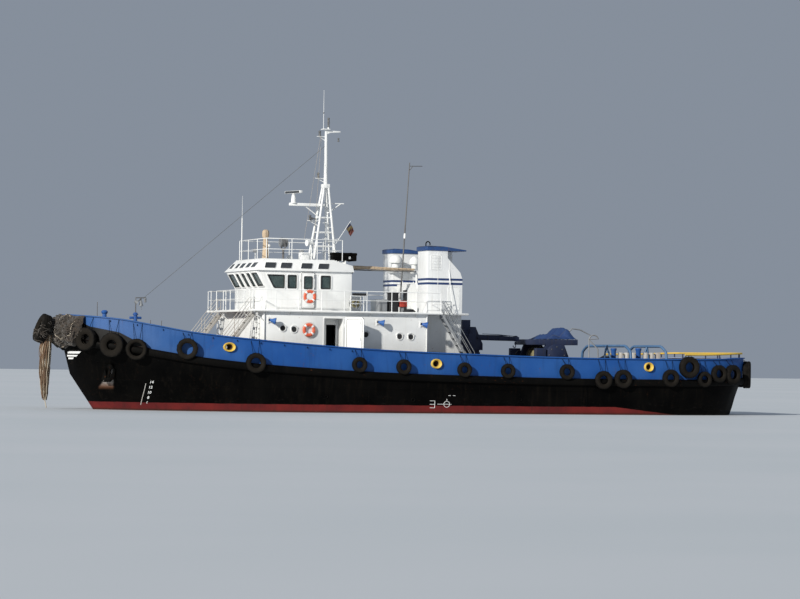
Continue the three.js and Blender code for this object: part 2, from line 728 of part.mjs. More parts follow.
function mainMast() {
  const bars = [];
  const legPoint = (leg, side, z) => {
    const [foot, head] = [mastFeet[leg], mastHeads[leg]];
    const t = (z - foot[2]) / (head[2] - foot[2]);
    return [foot[0] + (head[0] - foot[0]) * t, side * (foot[1] + (head[1] - foot[1]) * t), z];
  };
  for (const side of [-1, 1]) {
    for (const leg of [0, 1]) {
      bars.push(rod(legPoint(leg, side, mastFeet[leg][2] - 30), legPoint(leg, side, 11350), 55, 6, 50));
    }
    for (const z of mastRungs) bars.push(rod(legPoint(0, side, z), legPoint(1, side, z), 34, 4));
  }
  for (const z of mastRungs) {
    for (const leg of [0, 1]) bars.push(rod(legPoint(leg, -1, z), legPoint(leg, 1, z), 34, 4));
  }
  bars.push(rod([4075, 0, 11100], [4090, 0, 14120], 105, 8, 60));
  bars.push(block(3900, 4260, -190, 190, 11150, 11350));
  bars.push(block(3930, 4310, -170, 170, 14080, 14130));
  bars.push(rod([4230, 0, 14100], [4230, 0, 16070], 16, 6, 8));
  bars.push(rod([4000, 0, 14100], [4000, 0, 14560], 36, 6));
  bars.push(rod([4090, 0, 13990], [3350, 0, 13990], 28, 6));
  bars.push(rod([4080, 0, 13700], [4430, 0, 13740], 26, 6), rod([4080, 0, 11620], [4480, 0, 11640], 26, 6));
  bars.push(block(4280, 5980, -70, 70, 10240, 10350), rod([4420, 0, 9700], [5200, 0, 10280], 30, 6));
  bars.push(block(4200, 4420, -220, 220, 10240, 10350));
  bars.push(rod([5760, 0, 10340], [5760, 0, 10760], 130, 8, 95));
  bars.push(rod([4000, 0, 10380], [3090, 0, 10400], 32, 6), rod([4000, 0, 9850], [3250, 0, 10390], 26, 6));
  bars.push(block(3950, 4050, -240, 240, 10360, 10420), block(3880, 4010, -260, 260, 9640, 9700));
  bars.push(rod([3950, 0, 9670], [4010, 0, 9900], 30, 6));
  const forestay = rod([4060, 0, 13300], [13500, 0, 5400], 14, 6);
  const roofClear = wheelhouseRoof().translate([0, 0, seatGap]);
  return cut(join([...bars, forestay]), roofClear);
}

function radarScanner() {
  const turn = 107;
  const bar = block(-650, 650, -90, 90, 10830, 10960);
  const neck = rod([0, 0, 10760 + seatGap], [0, 0, 10840], 80, 10);
  return join([bar, neck]).rotate([0, 0, turn]).translate([5760, 0, 0]);
}

function aftPole() {
  const foot = rod([30, 0, boatDeckTop + 60], [-420, 0, 12600], 45, 8, 22);
  const step = rod([30, 0, boatDeckTop + seatGap], [30, 0, boatDeckTop + 180], 130, 8);
  const arm = rod([-410, 0, 12420], [-1110, 0, 12440], 22, 6);
  return join([foot, step, arm]);
}

// Rails: posts and bars of square section between corner points

function railRun(corners, { base, height, barHeights, spacing, size = 42 }) {
  const parts = [];
  for (let i = 0; i + 1 < corners.length; i++) {
    const [a, b] = [corners[i], corners[i + 1]];
    const length = Math.hypot(b[0] - a[0], b[1] - a[1]);
    const bays = Math.max(1, Math.round(length / spacing));
    for (let k = i === 0 ? 0 : 1; k <= bays; k++) {
      const p = [a[0] + ((b[0] - a[0]) * k) / bays, a[1] + ((b[1] - a[1]) * k) / bays];
      const half = size / 2;
      parts.push(block(p[0] - half, p[0] + half, p[1] - half, p[1] + half, base, base + height));
    }
    for (const h of barHeights) {
      const [lowX, highX] = [Math.min(a[0], b[0]) - size / 2, Math.max(a[0], b[0]) + size / 2];
      const [lowY, highY] = [Math.min(a[1], b[1]) - size / 2, Math.max(a[1], b[1]) + size / 2];
      parts.push(block(lowX, highX, lowY, highY, base + h - size / 2, base + h + size / 2));
    }
  }
  return join(parts);
}

const boatDeckRailShape = { base: boatDeckTop + seatGap, height: 990, barHeights: [520, 970], spacing: 1250 };
const monkeyRailShape = { base: roofZ - 200, height: 1160, barHeights: [660, 1130], spacing: 1320 };

function monkeyRail() {
  const corners = [[3900, -2130], [3900, 2130], [7850, 2130], [7850, -2130], [3900, -2130]];
  const run = railRun(corners, monkeyRailShape);
  return largest(cut(run, ...shaken(wheelhouseRoof())));
}

function bridgeFrontRail() {
  return railRun([[8500, -2250], [8990, -2250], [8990, 2250], [8500, 2250]], boatDeckRailShape);
}

function boatDeckRail(side) {
  const rail = railRun([[8480, 3650], [-780, 3650]], boatDeckRailShape);
  const stub = railRun([[8990, 3160], [8990, 3650], [8480, 3650]], boatDeckRailShape);
  const solid = join([rail, stub]);
  return side > 0 ? solid : mirrorY(solid);
}

// Ladders lean between two levels, with stringers, treads and handrails

function inclinedLadder({ topX, topZ, footX, footZ, y0, y1, treads, railHeight }) {
  const parts = [];
  const stringer = 32;
  for (const y of [y0 + stringer / 2, y1 - stringer / 2]) {
    const line = (rise, half) => [
      [topX, topZ + rise + half], [footX, footZ + rise + half],
      [footX, footZ + rise - half], [topX, topZ + rise - half],
    ];
    const order = topX > footX ? line : (rise, half) => line(rise, half).reverse();
    parts.push(sidePrism(order(0, 105), y - stringer / 2, y + stringer / 2));
    parts.push(sidePrism(order(railHeight, 24), y - stringer / 2, y + stringer / 2));
    for (const t of [0.06, 0.94]) {
      const [x, z] = [topX + (footX - topX) * t, topZ + (footZ - topZ) * t];
      parts.push(block(x - 20, x + 20, y - stringer / 2, y + stringer / 2, z, z + railHeight));
    }
  }
  for (let k = 0; k < treads; k++) {
    const t = (k + 0.5) / treads;
    const [x, z] = [topX + (footX - topX) * t, topZ + (footZ - topZ) * t];
    parts.push(block(x - 110, x + 110, y0, y1, z - 15, z + 15));
  }
  return join(parts);
}

function frontLadder(side) {
  const solid = cut(inclinedLadder({
    topX: 8640, topZ: boatDeckTop - 130, footX: 10420, footZ: 2540,
    y0: 2400, y1: 3010, treads: 7, railHeight: 900,
  }), hullShifted(0, 0, seatGap), block(8000, deckhouseFront + seatGap, -4000, 4000, 2000, 4900));
  return side > 0 ? solid : mirrorY(solid);
}

function aftStair(side) {
  const solid = cut(inclinedLadder({
    topX: -880, topZ: boatDeckTop - 120, footX: -2700, footZ: 1960,
    y0: 3200, y1: 3700, treads: 9, railHeight: 900,
  }), hullShifted(0, 0, seatGap));
  return side > 0 ? solid : mirrorY(solid);
}

// On the wheelhouse roof

function binnacle() {
  const x = 7200;
  const z = roofZ + seatGap;
  const stand = rod([x, 0, z], [x, 0, z + 1100], 170, 10, 130);
  const hood = rod([x, 0, z + 1090], [x, 0, z + 1540], 190, 10, 150);
  return join([stand, hood]);
}

const lamp = { x: 6550, y: 850, postTop: roofZ + 560, armOut: 262, armHigh: 380, headRise: 330 };

function searchlightBase() {
  const z = roofZ + seatGap;
  return join([
    rod([lamp.x, lamp.y, z], [lamp.x, lamp.y, z + 40], 150, 10),
    rod([lamp.x, lamp.y, z], [lamp.x, lamp.y, lamp.postTop], 55, 8),
  ]);
}

function searchlightYoke() {
  const { x, y, postTop, armOut, armHigh } = lamp;
  const z = postTop + seatGap;
  const arm = (side) => {
    const middle = y + side * armOut;
    return block(x - 30, x + 30, middle - 12, middle + 12, z, z + armHigh);
  };
  return join([block(x - 40, x + 40, y - armOut - 12, y + armOut + 12, z, z + 24), arm(-1), arm(1)]);
}

function searchlightHead() {
  const { x, y, postTop, armOut, headRise } = lamp;
  const z = postTop + headRise;
  const drum = rod([x - 190, y, z], [x + 150, y, z], 205, 14, 235);
  const pinEnd = armOut - 12 - seatGap;
  return join([drum, rod([x, y - pinEnd, z], [x, y + pinEnd, z], 22, 8)]);
}

function roofLocker() {
  return rod([4230, 1500, 7700], [2980, 1500, 7640], 190, 12);
}

function lockerCradle() {
  const plates = [4050, 3560].map((x) => block(x - 30, x + 30, 1330, 1670, 7180, 7640));
  const beam = block(3530, 4080, 1440, 1560, 7180, 7420);
  return cut(join([...plates, beam]), roofLocker().translate([0, 0, -seatGap]), roofLocker());
}

// Rolled awning on its spar between the wheelhouse and a crutch on the casing
const awning = { y: 900, fore: 3440 - seatGap, aft: -640, foreZ: 7080, aftZ: 6990 };

function awningSpar() {
  const { y, fore, aft, foreZ, aftZ } = awning;
  const bundle = rod([fore + 40, y, foreZ], [aft, y, aftZ], 120, 10, 95);
  return cut(bundle, block(fore, fore + 200, 0, 2000, 6800, 7400));
}

function awningCrutch() {
  const { y, aft, aftZ } = awning;
  const post = rod([aft + 120, y, 6400], [aft + 120, y, aftZ], 45, 8);
  return cut(post, awningSpar().translate([0, 0, -seatGap]), awningSpar());
}

// Working deck

const winch = { x: -7950, y: 0, axisZ: 2960, half: 1300 };

function towingWinch() {
  const { x, axisZ, half } = winch;
  const parts = [block(x - 1300, x + 1300, -half - 250, half + 250, 1700, 2020)];
  const frame = [[-1100, 2000], [1100, 2000], [500, 3500], [-500, 3500]].map(([dx, z]) => [x + dx, z]);
  for (const side of [-1, 1]) {
    const [y0, y1] = [side * half, side * (half + 200)].sort((a, b) => a - b);
    parts.push(sidePrism(frame, y0, y1));
  }
  parts.push(block(x - 1250, x + 900, -half - 200, half + 200, 3480, 3760));
  const shaftHole = rod([x, -half - 400, axisZ], [x, half + 400, axisZ], 137, 12);
  return cut(join(parts), hullShifted(0, 0, seatGap), shaftHole);
}

function towingDrum() {
  const { x, axisZ, half } = winch;
  const barrel = rod([x, -half + 150, axisZ], [x, half - 150, axisZ], 300, 14);
  const collar = rod([x, -half + 0.4, axisZ], [x, half - 0.4, axisZ], 190, 12);
  const flange = (side) => rod([x, side * (half - 190), axisZ], [x, side * (half - 110), axisZ], 470, 16);
  const shaft = rod([x, -half - 190, axisZ], [x, half + 190, axisZ], 128.5, 12);
  return join([barrel, collar, flange(-1), flange(1), shaft]);
}

function winchTarpaulin() {
  const { x, half } = winch;
  const base = 3760 + seatGap;
  const edge = (side) => [
    [x - 1280, side * 1400, base], [x + 250, side * 1400, base], [x - 1250, side * 1200, 3950],
  ];
  const ridge = (side) => [[x - 880, side * half * 0.45, 4380], [x - 150, side * 900, 4080]];
  return hullOf([-1, 1].flatMap((side) => [...edge(side), ...ridge(side)]));
}

// Tow beams: hoops right across the deck that keep the hawser off the gear
const towBeams = {
  forward: { x: -11500, half: 2950, rise: 3480, brace: -700 },
  aft: { x: -13850, half: 2250, rise: 3490, brace: 600 },
};

function towBeam({ x, half, rise, brace }) {
  const radius = 85;
  const shoulder = 620;
  const drop = rise - shoulder * 0.5;
  const foot = 1750;
  const line = [
    [-half - 230, foot], [-half, drop], [-half + shoulder, rise],
    [half - shoulder, rise], [half, drop], [half + 230, foot],
  ];
  const bars = [];
  for (let i = 0; i + 1 < line.length; i++) {
    bars.push(rod([x, line[i][0], line[i][1]], [x, line[i + 1][0], line[i + 1][1]], radius, 8));
  }
  for (const [y, z] of line.slice(1, -1)) {
    bars.push(solidFrom(new THREE.SphereGeometry(radius, 8, 6).translate(x, y, z)));
  }
  bars.push(rod([x, 0, rise], [x + brace, 0, foot], 70, 8));
  bars.push(rod([x, 0, rise], [x - brace * 0.35, 0, foot], 60, 8));
  return cut(join(bars), hullShifted(0, 0, seatGap));
}

function sternRail() {
  const height = 210;
  const radius = 55;
  // The rail crosses the stern inboard of the bulwark, on posts that stand on the deck
  const crossX = -17500;
  const stop = deckEdge.findIndex(([x]) => x > -13600);
  const side = [];
  for (let i = 2; i <= stop; i += 2) {
    const [x, y, z] = offsetPoint(i, -75, railAt(deckEdge[i][0]) + height);
    side.push([Math.max(x, crossX), y, z]);
  }
  const whole = [...[...side].reverse().map(([x, y, z]) => [x, -y, z]), ...side];
  const normals = outwardNormals(whole.map(([x, y]) => [x, y]));
  normals[0] = normals[1];
  normals[whole.length - 1] = normals[whole.length - 2];
  const rings = whole.map(([x, y, z], i) => Array.from({ length: 6 }, (_, k) => {
    const a = (k / 6) * 2 * Math.PI;
    const out = radius * Math.cos(a);
    return [x + normals[i][0] * out, y + normals[i][1] * out, z + radius * Math.sin(a)];
  }));
  const posts = whole.filter((_, i) => i % 3 === 1)
    .map(([x, y, z]) => rod([x, y, x > crossX ? z - height - 30 : deckAt(x) - 90], [x, y, z], 40, 6));
  const caps = [bulwarkSolid, mirrorY(bulwarkSolid)].map((s) => s.translate([0, 0, seatGap]));
  return largest(cut(join([loftRings(rings), ...posts]), ...caps, hullShifted(0, 0, seatGap)));
}

const crane = { x: -3900, pivotZ: 3820, pivotBack: 260 };

function cranePost() {
  const { x } = crane;
  const foot = rod([x, 0, 1700], [x, 0, 3000], 380, 12);
  const flange = rod([x, 0, 2940], [x, 0, 3060], 480, 12);
  return cut(join([foot, flange]), hullShifted(0, 0, seatGap));
}

function craneHouse() {
  const { x, pivotZ, pivotBack } = crane;
  const z = 3060 + seatGap;
  const ring = rod([x, 0, z], [x, 0, z + 120], 440, 12);
  const house = sidePrism([
    [x + 560, z + 100], [x + 640, 3500], [x + 560, 4340],
    [x - 80, 4340], [x - 480, z + 420], [x - 480, z + 100],
  ], -430, 430);
  const head = block(x + 160, x + 560, -300, 300, 4300, 4690);
  const mouth = block(x - 700, x - 60, -240, 240, pivotZ - 330, 4700);
  const pinHole = rod([x - pivotBack, -500, pivotZ], [x - pivotBack, 500, pivotZ], 68, 10);
  return cut(join([ring, house, head]), mouth, pinHole);
}

function craneJib() {
  const { x, pivotZ, pivotBack } = crane;
  const root = x - pivotBack;
  const tip = x - 2620;
  const eye = rod([root, -239.6, pivotZ], [root, 239.6, pivotZ], 150, 12);
  const pin = rod([root, -420, pivotZ], [root, 420, pivotZ], 60, 10);
  const outline = [[root, pivotZ - 145], [root, pivotZ + 145], [tip, pivotZ + 40], [tip, pivotZ - 170]];
  return join([eye, pin, sidePrism(outline, -150, 150)]);
}

// Foredeck

function windlass() {
  const x = 12600;
  const parts = [block(x - 600, x + 600, -900, 900, 2500, 2860)];
  for (const side of [-1, 1]) {
    const [y0, y1] = [side * 520, side * 620].sort((a, b) => a - b);
    parts.push(block(x - 260, x + 260, y0, y1, 2800, 3420));
  }
  const hole = rod([x, -800, 3200], [x, 800, 3200], 81, 8);
  return cut(join(parts), hullShifted(0, 0, seatGap), hole);
}

function windlassShaft() {
  const x = 12600;
  const shaft = rod([x, -1150, 3200], [x, 1150, 3200], 70, 8);
  const drums = [-1, 1].flatMap((side) => [
    rod([x, side * 700, 3200], [x, side * 1150, 3200], 170, 8),
    rod([x, side * 1090, 3200], [x, side * 1150, 3200], 220, 8),
    rod([x, side * 130, 3200], [x, side * 400, 3200], 230, 8),
    rod([x, side * 390, 3200], [x, side * 519.6, 3200], 110, 8),
  ]);
  return join([shaft, ...drums]);
}

function lampPost() {
  const x = 13830;
  const post = rod([x, 0, 2850], [x, 0, 5480], 60, 8, 45);
  const top = block(x - 540, x + 50, -22, 22, 5440, 5490);
  const drop = rod([x - 250, 0, 5460], [x - 320, 0, 4830], 20, 6);
  const foot = rod([x, 0, 2850], [x, 0, 4350], 95, 8);
  const drum = block(x - 520, x - 430, -60, 60, 5200, 5460);
  const stayClear = rod([4060, 0, 13300], [13500, 0, 5400], 15, 6);
  return cut(join([post, top, drop, foot, drum]), hullShifted(0, 0, seatGap), stayClear);
}

function bitts(x, halfGap) {
  const deck = deckAt(x);
  const post = (y) => rod([x, y, 1700], [x, y, deck + 780], 120, 10);
  const bar = rod([x, -halfGap - 320, deck + 520], [x, halfGap + 320, deck + 520], 75, 8);
  return cut(join([post(-halfGap), post(halfGap), bar]), hullShifted(0, 0, seatGap));
}

// The half breadth of the hull's side at a place, from its waterlines
function sideAt(x, z) {
  const heights = waterlines.map((line) => lineHeight(line, x));
  const j = Math.max(heights.findIndex((h) => h > z) - 1, 0);
  const t = (z - heights[j]) / (heights[j + 1] - heights[j]);
  const breadth = (line) => (x >= line.fore ? 0 : halfBreadth(line, x));
  return breadth(waterlines[j]) * (1 - t) + breadth(waterlines[j + 1]) * t;
}

// Anchors lie home against the bow, flukes flat on the plating and shank up the hawse
const hawse = { x: 15650, z: 1750 };

function anchor(side) {
  const y = sideAt(hawse.x, hawse.z);
  const slopeAlong = sideAt(hawse.x + 300, hawse.z) - sideAt(hawse.x - 300, hawse.z);
  const slopeUp = sideAt(hawse.x, hawse.z + 300) - sideAt(hawse.x, hawse.z - 300);
  const forward = new THREE.Vector3(600, slopeAlong, 0).normalize();
  const upward = new THREE.Vector3(0, slopeUp, 600).normalize();
  const outward = new THREE.Vector3().crossVectors(upward, forward).normalize();
  const place = (t, n, u) => {
    const p = new THREE.Vector3(hawse.x, y, hawse.z)
      .addScaledVector(forward, t).addScaledVector(outward, n).addScaledVector(upward, u);
    return [p.x, p.y, p.z];
  };
  const flukeCorners = [
    [40, 60, -300], [40, 190, -300], [330, 60, -260], [330, 120, -260],
    [260, 60, 330], [90, 60, -60], [230, 110, 200], [90, 150, -60],
  ];
  const fluke = (way) => hullOf(flukeCorners.map(([t, n, u]) => place(way * t, n, u)));
  const crownCorners = [[200, -150, -380], [200, 200, -380], [120, -150, -180], [120, 170, -180]];
  const crown = hullOf([-1, 1].flatMap((way) => crownCorners.map(([t, n, u]) => place(way * t, n, u))));
  const shank = rod(place(0, 100, -250), place(0, 60, 420), 70, 8);
  const ring = rod(place(0, -120, 420), place(0, 120, 420), 150, 12);
  const solid = largest(cut(join([fluke(-1), fluke(1), crown, shank, ring]), hullSkin));
  return side > 0 ? solid : mirrorY(solid);
}

// The assembly

const tug = new THREE.Group();

function add(name, solid, finish) {
  const mesh = new THREE.Mesh(geometryFrom(solid), new THREE.MeshStandardMaterial(paint[finish]));
  mesh.name = name;
  tug.add(mesh);
}

add("hull", hullWithSkeg(), "black");
add("bulwark_port", bulwarkSolid, "blue");
add("bulwark_starboard", mirrorY(bulwarkSolid), "blue");
add("fenders_port_fore", foreFenders, "rubber");
add("fenders_port_aft", aftFenders, "rubber");
add("fenders_starboard_fore", mirrorY(foreFenders), "rubber");
add("fenders_starboard_aft", mirrorY(aftFenders), "rubber");
add("bow_pudding", puddingSolid, "rope");
add("stem_tyre", stemTyreBody, "rubber");
add("bow_beard", bowBeard(), "rope");
for (const [word, side] of [["port", 1], ["starboard", -1]]) {
  add(`shaft_${word}`, shaftLine(side), "primer");
  add(`propeller_${word}`, screw(side), "bronze");
  add(`rudder_${word}`, rudder(side), "primer");
  add(`funnel_${word}`, funnel(side), "white");
  add(`boat_deck_rail_${word}`, boatDeckRail(side), "white");
  add(`front_ladder_${word}`, frontLadder(side), "white");
  add(`aft_stair_${word}`, aftStair(side), "steel");
  add(`anchor_${word}`, anchor(side), "black");
}
add("deckhouse", deckhouse(), "white");
add("deckhouse_door_port", doorLeaf(doors.deckhouse), "white");
add("deckhouse_door_starboard", mirrorY(doorLeaf({ ...doors.deckhouse, openNow: 0 })), "white");
add("boat_deck", boatDeck(), "white");
add("wheelhouse", wheelhouse(), "white");
add("wheelhouse_door_port", doorLeaf(doors.bridge), "white");
add("wheelhouse_door_starboard", mirrorY(doorLeaf(doors.bridge)), "white");
add("wheelhouse_roof", wheelhouseRoof(), "white");
add("engine_casing", engineCasing(), "white");
add("main_mast", mainMast(), "white");
add("radar_scanner", radarScanner(), "white");
add("aft_pole", aftPole(), "steel");
add("monkey_island_rail", monkeyRail(), "white");
add("bridge_front_rail", bridgeFrontRail(), "white");
add("binnacle", binnacle(), "canvas");
add("searchlight_post", searchlightBase(), "steel");
add("searchlight_yoke", searchlightYoke(), "steel");
add("searchlight_head", searchlightHead(), "steel");
add("roof_locker", roofLocker(), "black");
add("rolled_awning", awningSpar(), "canvas");
add("towing_winch", towingWinch(), "navy");
add("towing_drum", towingDrum(), "steel");
add("winch_tarpaulin", winchTarpaulin(), "tarp");
add("tow_beam_forward", towBeam(towBeams.forward), "blue");
add("tow_beam_aft", towBeam(towBeams.aft), "blue");
add("stern_rail", sternRail(), "yellow");
add("crane_post", cranePost(), "navy");
add("crane_house", craneHouse(), "navy");
add("crane_jib", craneJib(), "navy");
add("windlass", windlass(), "navy");
add("windlass_shaft", windlassShaft(), "steel");
add("foredeck_lamp_post", lampPost(), "blue");
add("fore_bitts", bitts(14900, 380), "black");
add("aft_bitts", bitts(-15300, 520), "black");

export default tug;
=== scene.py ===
import json
import math
import random

import bpy
from mathutils import Matrix, Vector, noise as randomField
from mathutils.bvhtree import BVHTree


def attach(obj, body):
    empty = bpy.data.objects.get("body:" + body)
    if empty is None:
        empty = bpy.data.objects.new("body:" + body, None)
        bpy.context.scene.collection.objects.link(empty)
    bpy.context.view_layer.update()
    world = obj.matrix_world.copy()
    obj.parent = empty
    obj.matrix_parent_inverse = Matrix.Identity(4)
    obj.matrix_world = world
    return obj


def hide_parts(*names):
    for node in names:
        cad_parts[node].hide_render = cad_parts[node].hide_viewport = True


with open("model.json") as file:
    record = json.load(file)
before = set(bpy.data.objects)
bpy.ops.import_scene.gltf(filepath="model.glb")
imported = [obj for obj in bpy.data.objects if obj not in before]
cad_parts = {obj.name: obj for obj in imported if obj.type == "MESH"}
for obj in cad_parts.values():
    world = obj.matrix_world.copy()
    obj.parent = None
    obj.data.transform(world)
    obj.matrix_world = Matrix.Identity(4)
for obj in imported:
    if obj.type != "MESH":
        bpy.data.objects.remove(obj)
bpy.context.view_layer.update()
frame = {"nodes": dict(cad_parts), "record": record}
bodyOf = {node: body for body, nodes in frame["record"]["behaviour"]["bodies"].items() for node in nodes}
slotOf = {part["node"]: part["material_slot"] for part in frame["record"]["subparts"]}
random.seed(41)
print("frame loaded")

# Camera: off the port bow, low over the water, with a long lens
view = {"away": 150.0, "round": 21.0, "high": 2.5, "pitch": 1.206, "roll": 0.8, "focal": 2969.0, "wide": 800.0}


def makeCamera():
    turn, pitch, roll = (math.radians(view[key]) for key in ("round", "pitch", "roll"))
    level, up = Vector((-math.sin(turn), -math.cos(turn), 0)), Vector((0, 0, 1))
    right = level.cross(up)
    ahead = level * math.cos(pitch) + up * math.sin(pitch)
    top = up * math.cos(pitch) - level * math.sin(pitch)
    across, over = right * math.cos(roll) + top * math.sin(roll), top * math.cos(roll) - right * math.sin(roll)
    bpy.ops.object.camera_add()
    made = bpy.context.object
    made.name = "photoCamera"
    made.data.sensor_width = 36
    made.data.lens = 36 * view["focal"] / view["wide"]
    made.data.clip_start, made.data.clip_end = 1, 2000
    spot = (view["away"] * math.sin(turn), view["away"] * math.cos(turn), view["high"])
    made.matrix_world = Matrix.Translation(spot) @ Matrix((across, over, -ahead)).transposed().to_4x4()
    bpy.context.scene.camera = made


makeCamera()


# Shader graphs: a Value is one output socket, and sums on it add the nodes
def feed(socket, value):
    if isinstance(value, Value):
        socket.id_data.links.new(value.socket, socket)
    elif socket.type == "RGBA":
        socket.default_value = (*value, 1)
    else:
        socket.default_value = value


def addNode(tree, kind, values=(), **settings):
    made = tree.nodes.new("ShaderNode" + kind)
    for key, value in settings.items():
        setattr(made, key, value)
    for key, value in values.items() if isinstance(values, dict) else enumerate(values):
        feed(made.inputs[key], value)
    return made


class Value:
    def __init__(self, socket):
        self.socket = socket

    def make(self, kind, values, output=0, **settings):
        return Value(addNode(self.socket.id_data, kind, values, **settings).outputs[output])

    def math(self, operation, other=0.0):
        return self.make("Math", (self, other), operation=operation)

    def __add__(self, other):
        return self.math("ADD", other)

    def __sub__(self, other):
        return self.math("SUBTRACT", other)

    def __mul__(self, other):
        return self.math("MULTIPLY", other)

    def clamp(self):
        self.socket.node.use_clamp = True
        return self

    def mix(self, first, second):
        return self.make("Mix", {0: self, 6: first, 7: second}, 2, data_type="RGBA")

    def ramp(self, low, high, start=0.0, end=1.0):
        return self.make("MapRange", (self, low, high, start, end), interpolation_type="SMOOTHSTEP")

    def noise(self, scale, detail=4.0, rough=0.55):
        return self.make("TexNoise", {"Vector": self, "Scale": scale, "Detail": detail, "Roughness": rough})

    def stretch(self, *factors):
        return self.make("VectorMath", (self, factors), operation="MULTIPLY")

    def split(self):
        return [Value(socket) for socket in addNode(self.socket.id_data, "SeparateXYZ", (self,)).outputs]


def startGroup(name, inputs, outputs):
    tree = bpy.data.node_groups.new(name, "ShaderNodeTree")
    for label, value in inputs:
        kind = "Vector" if value is None else "Float"
        made = tree.interface.new_socket(name=label, in_out="INPUT", socket_type="NodeSocket" + kind)
        if value is not None:
            made.default_value = value
    for label in outputs:
        tree.interface.new_socket(name=label, in_out="OUTPUT", socket_type="NodeSocketFloat")
    given = [Value(socket) for socket in tree.nodes.new("NodeGroupInput").outputs]
    return tree, given, tree.nodes.new("NodeGroupOutput").inputs


def wearGroup():
    labels = ["Fade", "Streak", "Rust", "Height"]
    inputs = [("Vector", None), ("Streaks", 0.5), ("Rust", 0.3), ("Grain", 1.0)]
    tree, (place, streaks, rust, grain, _), out = startGroup("paintWear", inputs, labels)
    tears = place.stretch(6.5, 6.5, 0.55).noise(1.1, 6, 0.6).ramp(0.63, 0.74)
    spots = place.noise(9.0, 8, 0.62).ramp(0.62, 0.69)
    zones = place.noise(0.55, 3).ramp(0.45, 0.62)
    runs = place.stretch(3.2, 3.2, 0.32).noise(1.6, 7, 0.68).ramp(0.5, 0.74)
    results = (place.noise(0.7, 6).ramp(0.34, 0.68), runs * streaks, tears.math("MAXIMUM", spots) * zones * rust,
               place.noise(1.3, 2) + place.noise(34.0, 3) * grain * 0.08)
    for label, value in zip(labels, results):
        feed(out[label], value)
    return tree


def fibreGroup():
    labels = ["Strand", "Stain", "Height"]
    tree, (place, fine, _), out = startGroup("ropeFibre", [("Vector", None), ("Fine", 40.0)], labels)
    strand = place.stretch(1.0, 1.0, 0.12).noise(fine, 4, 0.7)
    for label, value in zip(labels, (strand.ramp(0.3, 0.72), place.noise(2.3, 5).ramp(0.36, 0.66), strand)):
        feed(out[label], value)
    return tree


wear, fibre = wearGroup(), fibreGroup()
rustColour = (0.16, 0.055, 0.02)


def material(name):
    made = bpy.data.materials.new(name)
    made.use_nodes = True
    tree = made.node_tree
    return made, tree.nodes["Principled BSDF"], Value(tree.nodes.new("ShaderNodeTexCoord").outputs["Object"])


def shade(shader, **values):
    for label, value in values.items():
        feed(shader.inputs[label.replace("_", " ")], value)


def useGroup(group, place, **values):
    made = addNode(place.socket.id_data, "Group", node_tree=group)
    for label, value in (("Vector", place), *values.items()):
        feed(made.inputs[label], value)
    return [Value(socket) for socket in made.outputs]


def addBump(shader, height, strength, distance=0.01):
    values = {"Strength": strength, "Distance": distance, "Height": height}
    shade(shader, Normal=Value(addNode(shader.id_data, "Bump", values).outputs[0]))


def attribute(shader, name):
    return Value(addNode(shader.id_data, "Attribute", attribute_name=name).outputs["Fac"])


def normalOf(shader):
    return Value(addNode(shader.id_data, "NewGeometry").outputs["Normal"]).split()


def paint(name, colour, faded, streaked, streaks=0.5, rusting=0.3, rough=0.42, bump=0.25, gloss=0.4):
    made, shader, place = material(name)
    fade, streak, rust, height = useGroup(wear, place, Streaks=streaks, Rust=rusting)
    base = rust.mix(streak.mix(fade.mix(colour, faded), streaked), rustColour)
    dull = (fade * 0.18 + rust * 0.35 + rough).clamp()
    shade(shader, Base_Color=base, Roughness=dull, Specular_IOR_Level=gloss)
    addBump(shader, height, bump)
    return made


